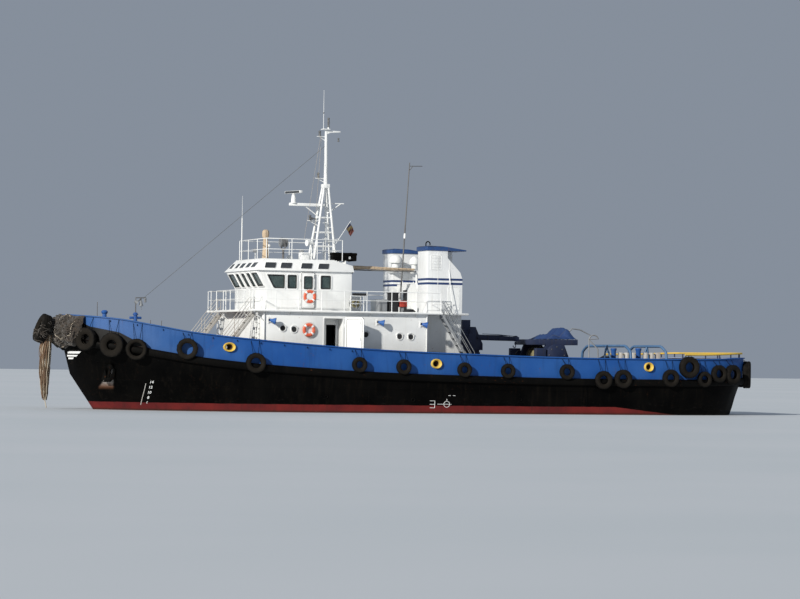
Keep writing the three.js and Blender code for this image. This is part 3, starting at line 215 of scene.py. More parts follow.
def hullMaterial():
    made, shader, place = material("hullPaint")
    fade, streak, rust, bumps = useGroup(wear, place, Streaks=0.5, Rust=0.5)
    x, _, z = place.split()
    height = z + (place.noise(1.8, 3) - 0.5) * 0.05
    topside = streak.mix(fade.mix((0.0010, 0.0010, 0.0010), (0.0024, 0.0022, 0.0020)), (0.009, 0.007, 0.005))
    topside = (rust * 0.6).mix(topside, (0.045, 0.02, 0.01))
    salt = place.stretch(2.0, 2.0, 6.0).noise(1.5, 6, 0.7).ramp(0.56, 0.72)
    topside = (salt * z.ramp(1.1, 0.4) * 0.35).mix(topside, (0.022, 0.020, 0.018))
    # paint scraped off to the plate by the anchor
    down = z.ramp(2.0, 0.95)
    side = (x - (down * 0.05 + 15.59)).math("ABSOLUTE")
    fan = (down * 0.24 + 0.08 - side - place.noise(4.0, 6, 0.7) * 0.16).ramp(-0.10, 0.02)
    fan = fan * (z.ramp(0.95, 1.2) * z.ramp(2.10, 1.95))
    scraped = place.stretch(5.0, 5.0, 1.2).noise(3.0, 7, 0.7)
    bare = scraped.ramp(0.38, 0.66).mix((0.34, 0.33, 0.32), (0.16, 0.14, 0.12))
    bare = z.ramp(1.45, 1.05).mix(bare, (0.12, 0.055, 0.03))
    topside = (fan * scraped.ramp(0.30, 0.42)).mix(topside, bare)
    red = streak.mix(fade.mix((0.155, 0.022, 0.020), (0.10, 0.017, 0.018)), (0.05, 0.02, 0.018))
    red = (height.ramp(0.14, 0.02) * 0.7).mix(red, (0.025, 0.02, 0.014))
    # the red boot top gives way to the black topside towards the stern
    dip = ((x * -1.0 - 9.8).math("MAXIMUM", 0.0)) * 0.11
    sides = (height + dip).ramp(0.395, 0.375).mix(topside, red)
    deck = (place.noise(3.5, 8, 0.7).ramp(0.52, 0.70) * 0.6).mix(
        fade.mix((0.13, 0.038, 0.028), (0.095, 0.04, 0.032)), (0.09, 0.075, 0.065))
    isDeck = normalOf(shader)[2].ramp(0.80, 0.9) * z.ramp(1.2, 1.5)
    flat = addNode(made.node_tree, "CombineXYZ", (x, z)).outputs[0]
    bricks = {"Vector": Value(flat), "Scale": 1.0, "Mortar Size": 0.014, "Mortar Smooth": 0.6, "Brick Width": 5.2,
              "Row Height": 1.45}
    seams = Value(addNode(made.node_tree, "TexBrick", bricks).outputs["Fac"])
    dull = (fade * 0.15 + 0.36 + isDeck * 0.3).clamp()
    shade(shader, Base_Color=isDeck.mix(sides, deck), Roughness=dull, Specular_IOR_Level=0.035)
    addBump(shader, bumps + seams * 0.35, 0.45, 0.03)
    return made


def bulwarkMaterial():
    made, shader, place = material("bulwarkPaint")
    fade, streak, rust, bumps = useGroup(wear, place, Streaks=0.45, Rust=0.55)
    x, y, z = place.split()
    blue = fade.mix((0.013, 0.072, 0.27), (0.02, 0.09, 0.30))
    # lighter blue towards the stem: partly faded, dusty paint, partly a painted sheen where the bow turns to the light
    blue = x.ramp(9.0, 14.5).mix(blue, fade.mix((0.026, 0.088, 0.255), (0.042, 0.108, 0.28)))
    blue = rust.mix(streak.mix(blue, (0.012, 0.045, 0.15)), (0.10, 0.05, 0.04))
    black = streak.mix(fade.mix((0.0012, 0.0012, 0.0012), (0.003, 0.0028, 0.0026)), (0.014, 0.011, 0.009))
    # the black of the topsides climbs up the bulwark towards the stem
    edge = x * 0.0 + 2.78
    for start, slope in ((13.7, 0.56), (15.4, -0.34), (16.6, 0.40)):
        edge = edge + (x - start).math("MAXIMUM", 0.0) * slope
    isBlack = (z - edge).ramp(0.012, -0.012) * x.ramp(13.2, 13.6)
    inner = streak.mix(fade.mix((0.42, 0.44, 0.45), (0.34, 0.36, 0.37)), (0.22, 0.16, 0.12))
    facing = normalOf(shader)
    towards = facing[0] * (x.math("SIGN") * 0.5) + facing[1] * y.math("SIGN")
    inward = towards.ramp(-0.25, -0.35) * facing[2].math("ABSOLUTE").ramp(0.6, 0.5)
    colour = inward.mix(isBlack.mix(blue, black), rust.mix(inner, rustColour))
    dull = (fade * 0.15 + 0.38 + rust * 0.3).clamp()
    shade(shader, Base_Color=colour, Roughness=dull, Specular_IOR_Level=0.2)
    addBump(shader, bumps, 0.4, 0.03)
    return made


def rubberMaterial():
    made, shader, place = material("tyreRubber")
    rings = attribute(shader, "ring")
    side = rings.ramp(0.98, 0.8)
    base = place.noise(3.0, 7, 0.65).ramp(0.38, 0.7).mix((0.0035, 0.003, 0.0025), (0.010, 0.0085, 0.007))
    base = (side * 0.45).mix(base, (0.017, 0.0135, 0.0095))
    base = (place.noise(14.0, 6, 0.7).ramp(0.62, 0.72) * 0.55).mix(base, (0.05, 0.038, 0.026))
    shade(shader, Base_Color=base, Roughness=0.78, Specular_IOR_Level=0.12)
    addBump(shader, (rings * 150.0).math("SINE") * (side * 0.25) + place.noise(30.0, 5), 0.5, 0.012)
    return made


def ropeMaterial(name, dark, light, stained, fine=40.0):
    made, shader, place = material(name)
    strand, stain, height = useGroup(fibre, place, Fine=fine)
    shade(shader, Base_Color=(stain * 0.75).mix(strand.mix(dark, light), stained), Roughness=0.92, Sheen_Weight=0.25)
    addBump(shader, height, 0.9, 0.02)
    return made


def clothMaterial(name, colour, faded, rough=0.85, weave=260.0):
    made, shader, place = material(name)
    base = place.noise(2.4, 6).ramp(0.34, 0.68).mix(colour, faded)
    dirt = place.stretch(3, 3, 1).noise(2.0, 7, 0.7).ramp(0.58, 0.74)
    shade(shader, Base_Color=(dirt * 0.6).mix(base, tuple(part * 0.45 for part in colour)), Roughness=rough)
    addBump(shader, place.noise(weave, 1) + place.noise(7.0, 4), 0.35, 0.01)
    return made


def glassMaterial():
    made, shader, place = material("windowGlass")
    smear = place.noise(3.0, 4).ramp(0.4, 0.7)
    shade(shader, Base_Color=smear.mix((0.10, 0.15, 0.15), (0.16, 0.22, 0.21)),
          Roughness=smear.ramp(0.0, 1.0, 0.03, 0.09),
          Transmission_Weight=0.6, IOR=1.5)
    return made


def metalMaterial(name, colour, dark, rough=0.35):
    made, shader, place = material(name)
    tone = place.noise(6.0, 6).ramp(0.35, 0.7)
    shade(shader, Base_Color=tone.mix(colour, dark), Roughness=tone.ramp(0.0, 1.0, rough, rough + 0.25), Metallic=0.9)
    addBump(shader, place.noise(60.0, 3), 0.15, 0.004)
    return made


def funnelMaterial():
    made, shader, place = material("funnelPaint")
    fade, streak, rust, height = useGroup(wear, place, Streaks=0.45, Rust=0.35)
    z = place.split()[2]
    base = streak.mix(fade.mix((0.83, 0.84, 0.84), (0.76, 0.77, 0.77)), (0.55, 0.53, 0.48))
    for low in (6.365, 6.575):
        base = (z.ramp(low, low + 0.006) * z.ramp(low + 0.115, low + 0.109)).mix(base, (0.012, 0.035, 0.13))
    cap = streak.mix(fade.mix((0.016, 0.052, 0.165), (0.026, 0.07, 0.20)), (0.02, 0.035, 0.08))
    base = z.ramp(8.044, 8.050).mix(base, cap)
    base = (z.ramp(8.20, 8.29) * place.noise(4.0, 5).ramp(0.4, 0.6)).mix(base, (0.02, 0.02, 0.02))
    shade(shader, Base_Color=rust.mix(base, rustColour), Roughness=0.42)
    addBump(shader, height, 0.25)
    return made


def flagMaterial():
    made, shader, place = material("flagCloth")
    across = attribute(shader, "fly")
    base = across.ramp(0.325, 0.34).mix((0.010, 0.018, 0.06), (0.11, 0.08, 0.03))
    base = across.ramp(0.66, 0.675).mix(base, (0.10, 0.02, 0.015))
    soft = place.noise(9.0, 4).ramp(0.35, 0.7) * 0.35
    shade(shader, Base_Color=soft.mix(base, (0.05, 0.045, 0.04)), Roughness=0.8)
    addBump(shader, place.noise(400.0, 1), 0.3, 0.002)
    return made


# Each look is a material and the slot that its pieces usually have
looks = {
    "white": (paint("whitePaint", (0.83, 0.84, 0.83), (0.76, 0.77, 0.76), (0.6, 0.56, 0.5), 0.28, 0.35, 0.4),
              "white_paint"),
    "blue": (paint("bluePaint", (0.016, 0.08, 0.30), (0.028, 0.11, 0.34), (0.012, 0.045, 0.16), 0.4, 0.35),
             "blue_paint"),
    "lightBlue": (paint("lightBluePaint", (0.055, 0.13, 0.26), (0.08, 0.16, 0.29), (0.04, 0.07, 0.12), 0.6, 0.5),
                  "blue_paint"),
    "black": (paint("blackPaint", (0.0018,) * 3, (0.0038, 0.0035, 0.003), (0.009, 0.0075, 0.006), 0.4, 0.5, 0.5, 0.25,
                    0.05), "black_paint"),
    "navy": (paint("navyPaint", (0.012, 0.02, 0.055), (0.02, 0.03, 0.07), (0.04, 0.035, 0.03), 0.5, 0.5, 0.5),
             "navy_paint"),
    "yellow": (paint("yellowPaint", (0.70, 0.45, 0.045), (0.60, 0.42, 0.09), (0.3, 0.2, 0.08), 0.4, 0.5),
               "yellow_paint"),
    "red": (paint("redPaint", (0.50, 0.035, 0.02), (0.42, 0.06, 0.04), (0.2, 0.04, 0.03), 0.4, 0.2), "yellow_paint"),
    "orange": (paint("orangePaint", (0.72, 0.10, 0.045), (0.66, 0.16, 0.08), (0.4, 0.1, 0.06), 0.2, 0.0),
               "blue_tarpaulin"),
    "grey": (paint("greyPaint", (0.20, 0.215, 0.23), (0.26, 0.27, 0.28), (0.12, 0.1, 0.08), 0.5, 0.4, 0.5),
             "bare_steel"),
    "under": (paint("underwaterPaint", (0.16, 0.022, 0.02), (0.12, 0.02, 0.02), (0.06, 0.03, 0.025), 0.5, 0.3, 0.6),
              "underwater_paint"),
    "steel": (paint("bareSteel", (0.10, 0.105, 0.11), (0.15, 0.15, 0.15), (0.10, 0.06, 0.04), 0.6, 0.8, 0.45),
              "bare_steel"),
    "buff": (paint("mastBuff", (0.50, 0.49, 0.46), (0.42, 0.40, 0.37), (0.25, 0.17, 0.12), 0.6, 0.7, 0.5),
             "white_paint"),
    # dark rusty brown for the fairlead sleeves, also painted shade inside the holes
    "brown": (paint("rustAndShadeBrown", (0.05, 0.022, 0.008), (0.03, 0.015, 0.008), (0.09, 0.04, 0.01), 0.5, 0.8, 0.7),
              "bare_steel"),
    # smoked panes: tinted glass, also painted shade on the blind visor windows and the radar's face
    "smoked": (paint("smokedPaneAndShade", (0.035, 0.04, 0.045), (0.05, 0.055, 0.06), (0.08,) * 3, 0.2, 0.0, 0.15),
               "black_paint"),
    # near-black: dark inside parts, and painted shade where a pane or opening shows an unlit room
    "dark": (paint("darkInsideAndShade", (0.012, 0.013, 0.015), (0.02, 0.021, 0.023), (0.03,) * 3, 0.2, 0.0, 0.7),
             "black_paint"),
    "hull": (hullMaterial(), "black_paint"), "bulwark": (bulwarkMaterial(), "blue_paint"),
    "funnel": (funnelMaterial(), "white_paint"), "tyre": (rubberMaterial(), "tyre_rubber"),
    "pudding": (ropeMaterial("puddingRope", (0.010, 0.0075, 0.006), (0.072, 0.052, 0.036), (0.022, 0.018, 0.012), 26.0),
                "old_rope"),
    "beard": (ropeMaterial("beardRope", (0.055, 0.034, 0.018), (0.27, 0.18, 0.10), (0.12, 0.058, 0.026), 55.0),
              "old_rope"),
    "towRope": (ropeMaterial("towRope", (0.14, 0.12, 0.05), (0.30, 0.27, 0.14), (0.18, 0.15, 0.08), 60.0), "old_rope"),
    "paleRope": (ropeMaterial("paleRope", (0.30, 0.25, 0.18), (0.62, 0.57, 0.47), (0.36, 0.28, 0.2), 60.0), "old_rope"),
    "canvas": (clothMaterial("tanCanvas", (0.52, 0.40, 0.27), (0.44, 0.34, 0.24)), "tan_canvas"),
    "tarp": (clothMaterial("blueTarp", (0.006, 0.028, 0.115), (0.010, 0.04, 0.135), 0.7), "blue_tarpaulin"),
    "rubber": (clothMaterial("gasketRubber", (0.012,) * 3, (0.02,) * 3, 0.6, 40.0), "black_paint"),
    "flag": (flagMaterial(), "blue_tarpaulin"), "glass": (glassMaterial(), "black_paint"),
    "bronze": (metalMaterial("propellerBronze", (0.50, 0.30, 0.10), (0.28, 0.17, 0.07)), "bronze"),
    "chrome": (metalMaterial("polishedMetal", (0.62, 0.63, 0.65), (0.45, 0.46, 0.47), 0.2), "bare_steel"),
}
slotLook = {"white_paint": "white", "blue_paint": "blue", "black_paint": "black", "tyre_rubber": "tyre",
            "old_rope": "pudding", "navy_paint": "navy", "yellow_paint": "yellow", "bronze": "bronze",
            "underwater_paint": "under", "bare_steel": "steel", "tan_canvas": "canvas", "blue_tarpaulin": "tarp"}
for node, piece in frame["nodes"].items():
    piece.data.materials.clear()
    piece.data.materials.append(looks[slotLook[slotOf[node]]][0])
print("materials made")

# Modelling helpers
upward, outward, starboardFlip = (0, 0, 1), (1, 0, 0), Matrix.Scale(-1, 4, (0, 1, 0))
sides = (("port", 1), ("starboard", -1))


def clearPick():
    if bpy.context.object and bpy.context.object.mode != "OBJECT":
        bpy.ops.object.mode_set(mode="OBJECT")
    bpy.ops.object.select_all(action="DESELECT")


def grab(piece):
    clearPick()
    piece.select_set(True)
    bpy.context.view_layer.objects.active = piece


def editAll(piece):
    grab(piece)
    bpy.ops.object.mode_set(mode="EDIT")
    bpy.ops.mesh.select_all(action="SELECT")


def leaveEdit():
    bpy.ops.object.mode_set(mode="OBJECT")


def settle(piece):
    grab(piece)
    bpy.ops.object.transform_apply(location=True, rotation=True, scale=True)
    return piece


def moved(piece, matrix):
    piece.data.transform(matrix)
    return piece


def tidyMesh(piece, cap=False, merge=0.0004):
    editAll(piece)
    bpy.ops.mesh.remove_doubles(threshold=merge)
    if cap:
        bpy.ops.mesh.fill_holes(sides=0)
        bpy.ops.mesh.select_all(action="SELECT")
    bpy.ops.mesh.normals_make_consistent(inside=False)
    leaveEdit()
    return piece


def modify(piece, kind, **settings):
    grab(piece)
    bpy.ops.object.modifier_add(type=kind)
    made = piece.modifiers[-1]
    for key, value in settings.items():
        setattr(made, key, value)
    bpy.ops.object.modifier_apply(modifier=made.name)
    return piece


def bevelEdges(piece, width, segments=2, angle=40):
    return modify(piece, "BEVEL", width=width, segments=segments, limit_method="ANGLE",
                  angle_limit=math.radians(angle), use_clamp_overlap=True)


def solidify(piece, thickness, offset=0.0):
    return modify(piece, "SOLIDIFY", thickness=thickness, offset=offset)


def join(pieces):
    clearPick()
    for piece in pieces:
        piece.select_set(True)
    bpy.context.view_layer.objects.active = pieces[0]
    bpy.ops.object.join()
    return bpy.context.object


def finish(parts, name, look, smooth=35, body="boat", slot=None, node=()):
    piece = settle(join(parts) if isinstance(parts, list) else parts)
    bpy.ops.object.shade_smooth_by_angle(angle=math.radians(smooth))
    piece.name = piece.data.name = name
    piece.data.materials.clear()
    piece.data.materials.append(looks[look][0])
    slot or looks[look][1]
    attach(piece, body)
    if node:
        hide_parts(*([node] if isinstance(node, str) else node))
    return piece


def copyPiece(piece, matrix):
    made = piece.copy()
    made.data = piece.data.copy()
    bpy.context.collection.objects.link(made)
    return moved(made, matrix)


def mirrored(piece):
    return tidyMesh(copyPiece(piece, starboardFlip), merge=0.00001)


def pair(parts, stem, look, smooth=35, slot=None, other=None):
    port = finish(parts, stem + "_port", look, smooth, slot=slot)
    return port, finish(mirrored(port), stem + "_starboard", look, other or smooth, slot=slot)


def box(low, high, bevel=0.0, segments=2):
    spans = [sorted(pair) for pair in zip(low, high)]
    clearPick()
    bpy.ops.mesh.primitive_cube_add(size=1, location=[(a + b) / 2 for a, b in spans])
    piece = bpy.context.object
    piece.scale = [b - a for a, b in spans]
    settle(piece)
    return bevelEdges(piece, bevel, segments) if bevel else piece


# Each row holds both corners, then the bevel
def boxes(*rows):
    return [box(row[:3], row[3:6], *row[6:]) for row in rows]


def turnTo(piece, centre, axis):
    return moved(piece, Matrix.Translation(centre) @ Vector(axis).to_track_quat("Z", "Y").to_matrix().to_4x4())


def turned(section, centre=(0, 0, 0), axis=upward, steps=20):
    clearPick()
    bpy.ops.mesh.primitive_circle_add(vertices=len(section), radius=1, fill_type="NOTHING")
    piece = bpy.context.object
    for vertex, (radius, rise) in zip(piece.data.vertices, section):
        vertex.co = (radius, 0, rise)
    editAll(piece)
    bpy.ops.mesh.spin(steps=steps, angle=2 * math.pi, center=(0, 0, 0), axis=upward)
    leaveEdit()
    return turnTo(tidyMesh(piece, merge=0.00005), centre, axis)


# A solid turned piece: its section is closed at the centre line
def knob(section, centre=(0, 0, 0), axis=upward, steps=20):
    return turned([(0.0005, section[0][1]), *section, (0.0005, section[-1][1])], centre, axis, steps)


def pipe(runs, radius, sides=8):
    clearPick()
    bpy.ops.curve.primitive_bezier_curve_add(location=(0, 0, 0))
    piece = bpy.context.object
    piece.data.splines.clear()
    piece.data.dimensions = "3D"
    for run in runs:
        spline = piece.data.splines.new("POLY")
        spline.points.add(len(run) - 1)
        for point, place in zip(spline.points, run):
            point.co = (*place[:3], 1)
            point.radius = place[3] if len(place) > 3 else 1.0
    piece.data.bevel_depth = radius
    piece.data.bevel_resolution = max(0, (sides - 4) // 2)
    piece.data.use_fill_caps = True
    grab(piece)
    bpy.ops.object.convert(target="MESH")
    return bpy.context.object


def grid(countU, countV, place, cap=False, merge=0.0004):
    clearPick()
    bpy.ops.mesh.primitive_grid_add(x_subdivisions=countU, y_subdivisions=countV, size=1, location=(0, 0, 0))
    piece = bpy.context.object
    for vertex in piece.data.vertices:
        vertex.co = place(round((vertex.co.x + 0.5) * countU), round((vertex.co.y + 0.5) * countV))
    return tidyMesh(piece, cap, merge)


def plate(points):
    clearPick()
    bpy.ops.mesh.primitive_circle_add(vertices=len(points), radius=1, fill_type="NGON")
    piece = bpy.context.object
    for vertex, point in zip(piece.data.vertices, points):
        vertex.co = point
    return piece


def arc(centre, start, end, radius, steps, plane=(1, 2)):
    made = []
    for k in range(steps + 1):
        a = start + (end - start) * k / steps
        point = list(centre)
        point[plane[0]] += radius * math.cos(a)
        point[plane[1]] += radius * math.sin(a)
        made.append(tuple(point))
    return made


def facing(origin, across, up=upward):
    u, v = Vector(across).normalized(), Vector(up).normalized()
    return Matrix.Translation(origin) @ Matrix((u, v, u.cross(v))).transposed().to_4x4()


def pathLength(path):
    return sum((Vector(b) - Vector(a)).length for a, b in zip(path, path[1:]))


def finePath(path, count):
    total, made = pathLength(path), []
    for k in range(count):
        want = total * k / (count - 1)
        for a, b in zip(path, path[1:]):
            step = (Vector(b) - Vector(a)).length
            if want <= step + 1e-9:
                made.append(tuple(Vector(a).lerp(Vector(b), want / step)))
                break
            want -= step
    return made


trees = {}


def rayHit(node, start, way):
    if node not in trees:
        mesh = frame["nodes"][node].data
        trees[node] = BVHTree.FromPolygons([v.co[:] for v in mesh.vertices], [p.vertices[:] for p in mesh.polygons])
    return trees[node].ray_cast(Vector(start), Vector(way).normalized())[:2]


# A node's own mesh again, merged, with its flat faces cleaned and its edges rounded
def rounded(node, name, bevel, segments=2, look=None, angle=38, dissolve=True):
    source = frame["nodes"][node]
    made = source.copy()
    made.data = source.data.copy()
    for key in list(made.keys()):
        del made[key]
    made.parent = None
    made.matrix_world = Matrix.Identity(4)
    bpy.context.collection.objects.link(made)
    editAll(made)
    bpy.ops.mesh.remove_doubles(threshold=0.00005)
    if dissolve:
        bpy.ops.mesh.dissolve_limited(angle_limit=math.radians(0.5))
    leaveEdit()
    bevelEdges(made, bevel, segments)
    finish(made, name, look or slotLook[slotOf[node]], angle, bodyOf[node], slotOf[node], node)


reshaped = {
    "towing_winch": ("towing_winch_frame", 0.012, 2, "navy", 35),
    "towing_drum": ("towing_drum_barrel", 0.008, 2, "steel", 40),
    "aft_bitts": ("aft_bitts_posts", 0.012, 2, "black", 40), "fore_bitts": ("fore_bitts_posts", 0.012, 2, "black", 40),
    "crane_post": ("crane_pedestal", 0.012, 2, "navy", 40), "crane_house": ("crane_house_plates", 0.014, 2, "navy"),
    "crane_jib": ("crane_jib_box", 0.012, 2, "navy"), "windlass": ("windlass_bed", 0.012, 2, "navy", 40),
    "windlass_shaft": ("windlass_drums", 0.006, 2, "steel", 40), "hull": ("hull_shell", 0.02, 2, "hull", 38, False),
}
keptShape = {
    "deckhouse": 0.012, "boat_deck": 0.010, "wheelhouse": 0.010, "wheelhouse_roof": 0.014, "engine_casing": 0.010,
    "radar_scanner": 0.02, "searchlight_post": 0.006, "searchlight_yoke": 0.006, "searchlight_head": 0.012,
}
for name, bevel in (("deckhouse_door_", 0.006), ("wheelhouse_door_", 0.006), ("shaft_", 0.004), ("propeller_", 0.006),
                    ("rudder_", 0.01), ("anchor_", 0.008)):
    keptShape.update({name + side: bevel for side, _ in sides})
for side, _ in sides:
    reshaped["funnel_" + side] = ("funnel_%s_casing" % side, 0.02, 3, "funnel")
reshaped.update({node: (node + "_body", bevel) for node, bevel in keptShape.items()})
for node, settings in reshaped.items():
    rounded(node, *settings)
print("model shapes rounded")

# Hull edge: the same lines as the model's, so that fine plating lies on its deck edge
sheer = [
    (-17.4, 1.93, 2.97), (-14.8, 1.82, 2.87), (-11.3, 1.80, 2.85), (-6.7, 1.81, 2.86), (-1.9, 1.88, 2.96),
    (1.8, 1.96, 3.06), (4.9, 2.08, 3.21), (8.9, 2.32, 3.49), (12.0, 2.64, 3.80), (14.0, 2.96, 4.15),
    (15.5, 3.20, 4.41), (17.6, 3.44, 4.60),
]
plan = {"half": 4.85, "fore": 6.0, "stem": 17.5, "aft": -12.0, "transom": -17.95, "transomHalf": 2.6}


def sheerAt(x, column):
    i = 0
    while i < len(sheer) - 2 and x > sheer[i + 1][0]:
        i += 1
    value = lambda k: sheer[min(max(k, 0), len(sheer) - 1)]
    slope = lambda k: (value(k + 1)[column] - value(k - 1)[column]) / (value(k + 1)[0] - value(k - 1)[0])
    span = sheer[i + 1][0] - sheer[i][0]
    t = min(max((x - sheer[i][0]) / span, 0), 1)
    a, b, p, q = sheer[i][column], sheer[i + 1][column], slope(i) * span, slope(i + 1) * span
    return (a * (2 * t ** 3 - 3 * t * t + 1) + p * (t ** 3 - 2 * t * t + t)
            + b * (3 * t * t - 2 * t ** 3) + q * (t ** 3 - t * t))


def deckAt(x):
    return sheerAt(x, 1)


def railAt(x):
    return sheerAt(x, 2)


def halfAt(x):
    if x > plan["fore"]:
        t = min((x - plan["fore"]) / (plan["stem"] - plan["fore"]), 1)
        return plan["half"] * math.sqrt(1 - t * t)
    if x < plan["aft"]:
        t = min((plan["aft"] - x) / (plan["aft"] - plan["transom"]), 1)
        return plan["transomHalf"] + (plan["half"] - plan["transomHalf"]) * (1 - t ** 2.5) ** 0.4
    return plan["half"]


# Points of the deck edge from the middle of the transom to the stem, each with its outward normal
def makeEdge(steps):
    points = [(plan["transom"], max(f * plan["transomHalf"], 0.0002)) for f in (0, 0.35, 0.7, 0.9)]
    for i in range(steps + 1):
        t = i / steps
        s = 0.35 * t + 0.65 * (0.5 - 0.5 * math.cos(math.pi * t))
        x = plan["transom"] + (plan["stem"] - plan["transom"]) * s
        points.append((x, max(halfAt(x), 0.0002)))
    edge = [(*points[0], -1.0, 0.0)]
    for before, point, after in zip(points, points[1:], points[2:]):
        dx, dy = (after[k] - before[k] for k in (0, 1))
        far = math.hypot(dx, dy)
        edge.append((*point, -dy / far, dx / far))
    return edge + [(*points[-1], 1.0, 0.0)]


edge, fineEdge = makeEdge(30), makeEdge(150)


def edgeAt(x=None, y=None, line=edge):
    for i in range(len(line) - 1):
        a, b = line[i], line[i + 1]
        onTransom = y is not None and i < 4 and b[1] >= y
        if onTransom or (x is not None and i >= 4 and b[0] >= x):
            t = (y - a[1]) / (b[1] - a[1]) if onTransom else (x - a[0]) / (b[0] - a[0])
            mix = [p + (q - p) * t for p, q in zip(a, b)]
            return Vector((mix[0], mix[1], 0)), Vector((mix[2], mix[3], 0)).normalized()


def wallAt(point, normal, out, z):
    return facing((point.x + normal.x * out, point.y + normal.y * out, z), (-normal.y, normal.x, 0))


def offsetPoint(point, out, z):
    return (point[0] + point[2] * out, point[1] + point[3] * out, z)


def ringLoft(rings):
    count = len(rings[0])

    def place(u, v):
        x, y, z = rings[u][v % count]
        return (x, max(y, 0.0002), z)
    return grid(len(rings) - 1, count, place, cap=True)


bulwark = {"out": -0.04, "plate": 0.06, "capOut": 0.03, "capIn": -0.19, "capThick": 0.06, "foot": -0.07}
fairleads = ((10.41, 3.10, 0.29, 0.225), (-0.106, 2.44, 0.27, 0.235), (-11.627, 2.42, 0.24, 0.23))
# a rounded lip outside, and a rusty sleeve that narrows inwards and bends forward, its dark brown both rust and painted
# shade inside the hole
lip = [(1.0, -0.07), (1.03, 0.0), (1.01, 0.055), (0.93, 0.085), (0.79, 0.07), (0.67, 0.02), (0.61, -0.06),
       (0.72, -0.10)]
sleeve = [(0.64, -0.04), (0.58, -0.12), (0.52, -0.26), (0.50, -0.42), (0.56, -0.42), (0.60, -0.26), (0.72, -0.09)]
stays = {"spacing": 1.15, "foot": 0.38, "thick": 0.014}


def bulwarkRing(point):
    top, base = railAt(point[0]), deckAt(point[0]) + bulwark["foot"]
    low, out, capOut, capIn = top - bulwark["capThick"], bulwark["out"], bulwark["capOut"], bulwark["capIn"]
    inner, middle = out - bulwark["plate"], base + (low - base) * 0.5
    profile = [(out, base), (out, middle), (out, low), (capOut - 0.012, low), (capOut, low + 0.014),
               (capOut, top - 0.018),
               (capOut - 0.018, top), (capIn + 0.018, top), (capIn, top - 0.018), (capIn, low + 0.014),
               (capIn + 0.012, low), (inner, low), (inner, middle), (inner, base)]
    return [offsetPoint(point, away, z) for away, z in profile]


def fairleadRing(section, x, z, halfLong, halfHigh):
    ring = moved(turned(section, steps=32), Matrix.Diagonal((halfLong, halfHigh, 1, 1)))
    for vertex in ring.data.vertices:
        vertex.co.x += 0.5 * min(vertex.co.z, 0)
    return moved(ring, wallAt(*edgeAt(x), 0.0, z))


def buildBulwark():
    plating = ringLoft([bulwarkRing(point) for point in fineEdge])
    for x, z, halfLong, halfHigh in fairleads:
        clearPick()
        bpy.ops.mesh.primitive_cylinder_add(vertices=32, radius=1, depth=0.7)
        tool = moved(bpy.context.object, wallAt(*edgeAt(x), 0.0, z) @ Matrix.Diagonal((halfLong, halfHigh, 1, 1)))
        modify(plating, "BOOLEAN", object=tool, operation="DIFFERENCE", solver="EXACT")
        bpy.data.objects.remove(tool, do_unlink=True)
    for piece, (side, _) in zip(pair(plating, "bulwark_plating", "bulwark"), sides):
        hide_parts("bulwark_" + side)
    # the sleeves' dark brown is rust and painted shade inside the fairlead holes
    for section, name, look in ((lip, "fairlead_rings", "yellow"), (sleeve, "fairlead_sleeves", "brown")):
        pair([fairleadRing(section, *lead) for lead in fairleads], name, look, 60, other=35)


# Triangular brackets that hold the bulwark up from the deck, and the eye bolts outside
def buildStays():
    brackets, bolts = [], []
    inner, x = bulwark["out"] - bulwark["plate"], -16.4
    while x < 16.6:
        point, normal = edgeAt(x, line=fineEdge)
        base, top, foot = deckAt(x) + 0.006, railAt(x) - 0.06, inner - stays["foot"]
        if all(abs(x - lead[0]) >= 0.5 for lead in fairleads):
            outline = [(inner, base), (inner, top), (inner - 0.06, top), (foot, base + 0.07), (foot, base)]
            bracket = plate([(point.x + normal.x * out, point.y + normal.y * out, z) for out, z in outline])
            brackets.append(solidify(bracket, stays["thick"]))
        if x > 4:
            section = [(0.035 + 0.012 * math.cos(a), 0.012 * math.sin(a)) for a in (0, 1.26, 2.51, 3.77, 5.03)]
            place = Vector((point.x, point.y, top - 0.12)) + normal * (bulwark["out"] + 0.03)
            bolts.append(turned(section, place, (-normal.y, normal.x, 0), 10))
        x += stays["spacing"]
    pair(brackets, "bulwark_stays", "bulwark")
    pair(bolts, "bulwark_eyes", "black")


buildBulwark()
buildStays()
print("bulwarks built")

strake = {"deep": 0.36, "proud": 0.20, "drop": 0.006, "last": 16.70, "skin": -0.03, "foot": (-17.76, 17.44, 0.996)}
sideTyres = [
    (16.65, 3.39, 1.12, 0.30), (15.65, 3.12, 1.18, 0.32), (14.62, 2.93, 1.03, 0.30), (12.39, 2.99, 1.03, 0.28),
    (9.18, 2.36, 0.98, 0.28), (3.98, 2.34, 0.76, 0.24), (1.68, 2.26, 0.76, 0.24), (-1.52, 2.16, 0.74, 0.24),
    (-3.84, 2.13, 0.74, 0.24), (-7.03, 2.12, 0.79, 0.24), (-9.03, 1.74, 0.92, 0.26), (-10.11, 1.81, 0.94, 0.26),
    (-12.76, 1.87, 0.90, 0.26), (-13.78, 2.43, 1.10, 0.34), (-14.70, 1.83, 0.80, 0.26), (-15.56, 2.12, 0.90, 0.30),
    (-16.42, 2.09, 1.00, 0.34), (-17.70, 2.09, 1.40, 0.42),
]
transomTyres = [(0.70, 2.08, 1.30, 0.40), (2.05, 2.08, 1.30, 0.40)]
tyre = {"lugs": 28, "groove": 0.022, "steps": 56, "holes": (0.43, 0.42, 0.62, 0.52, 0.50), "hole": 0.46}


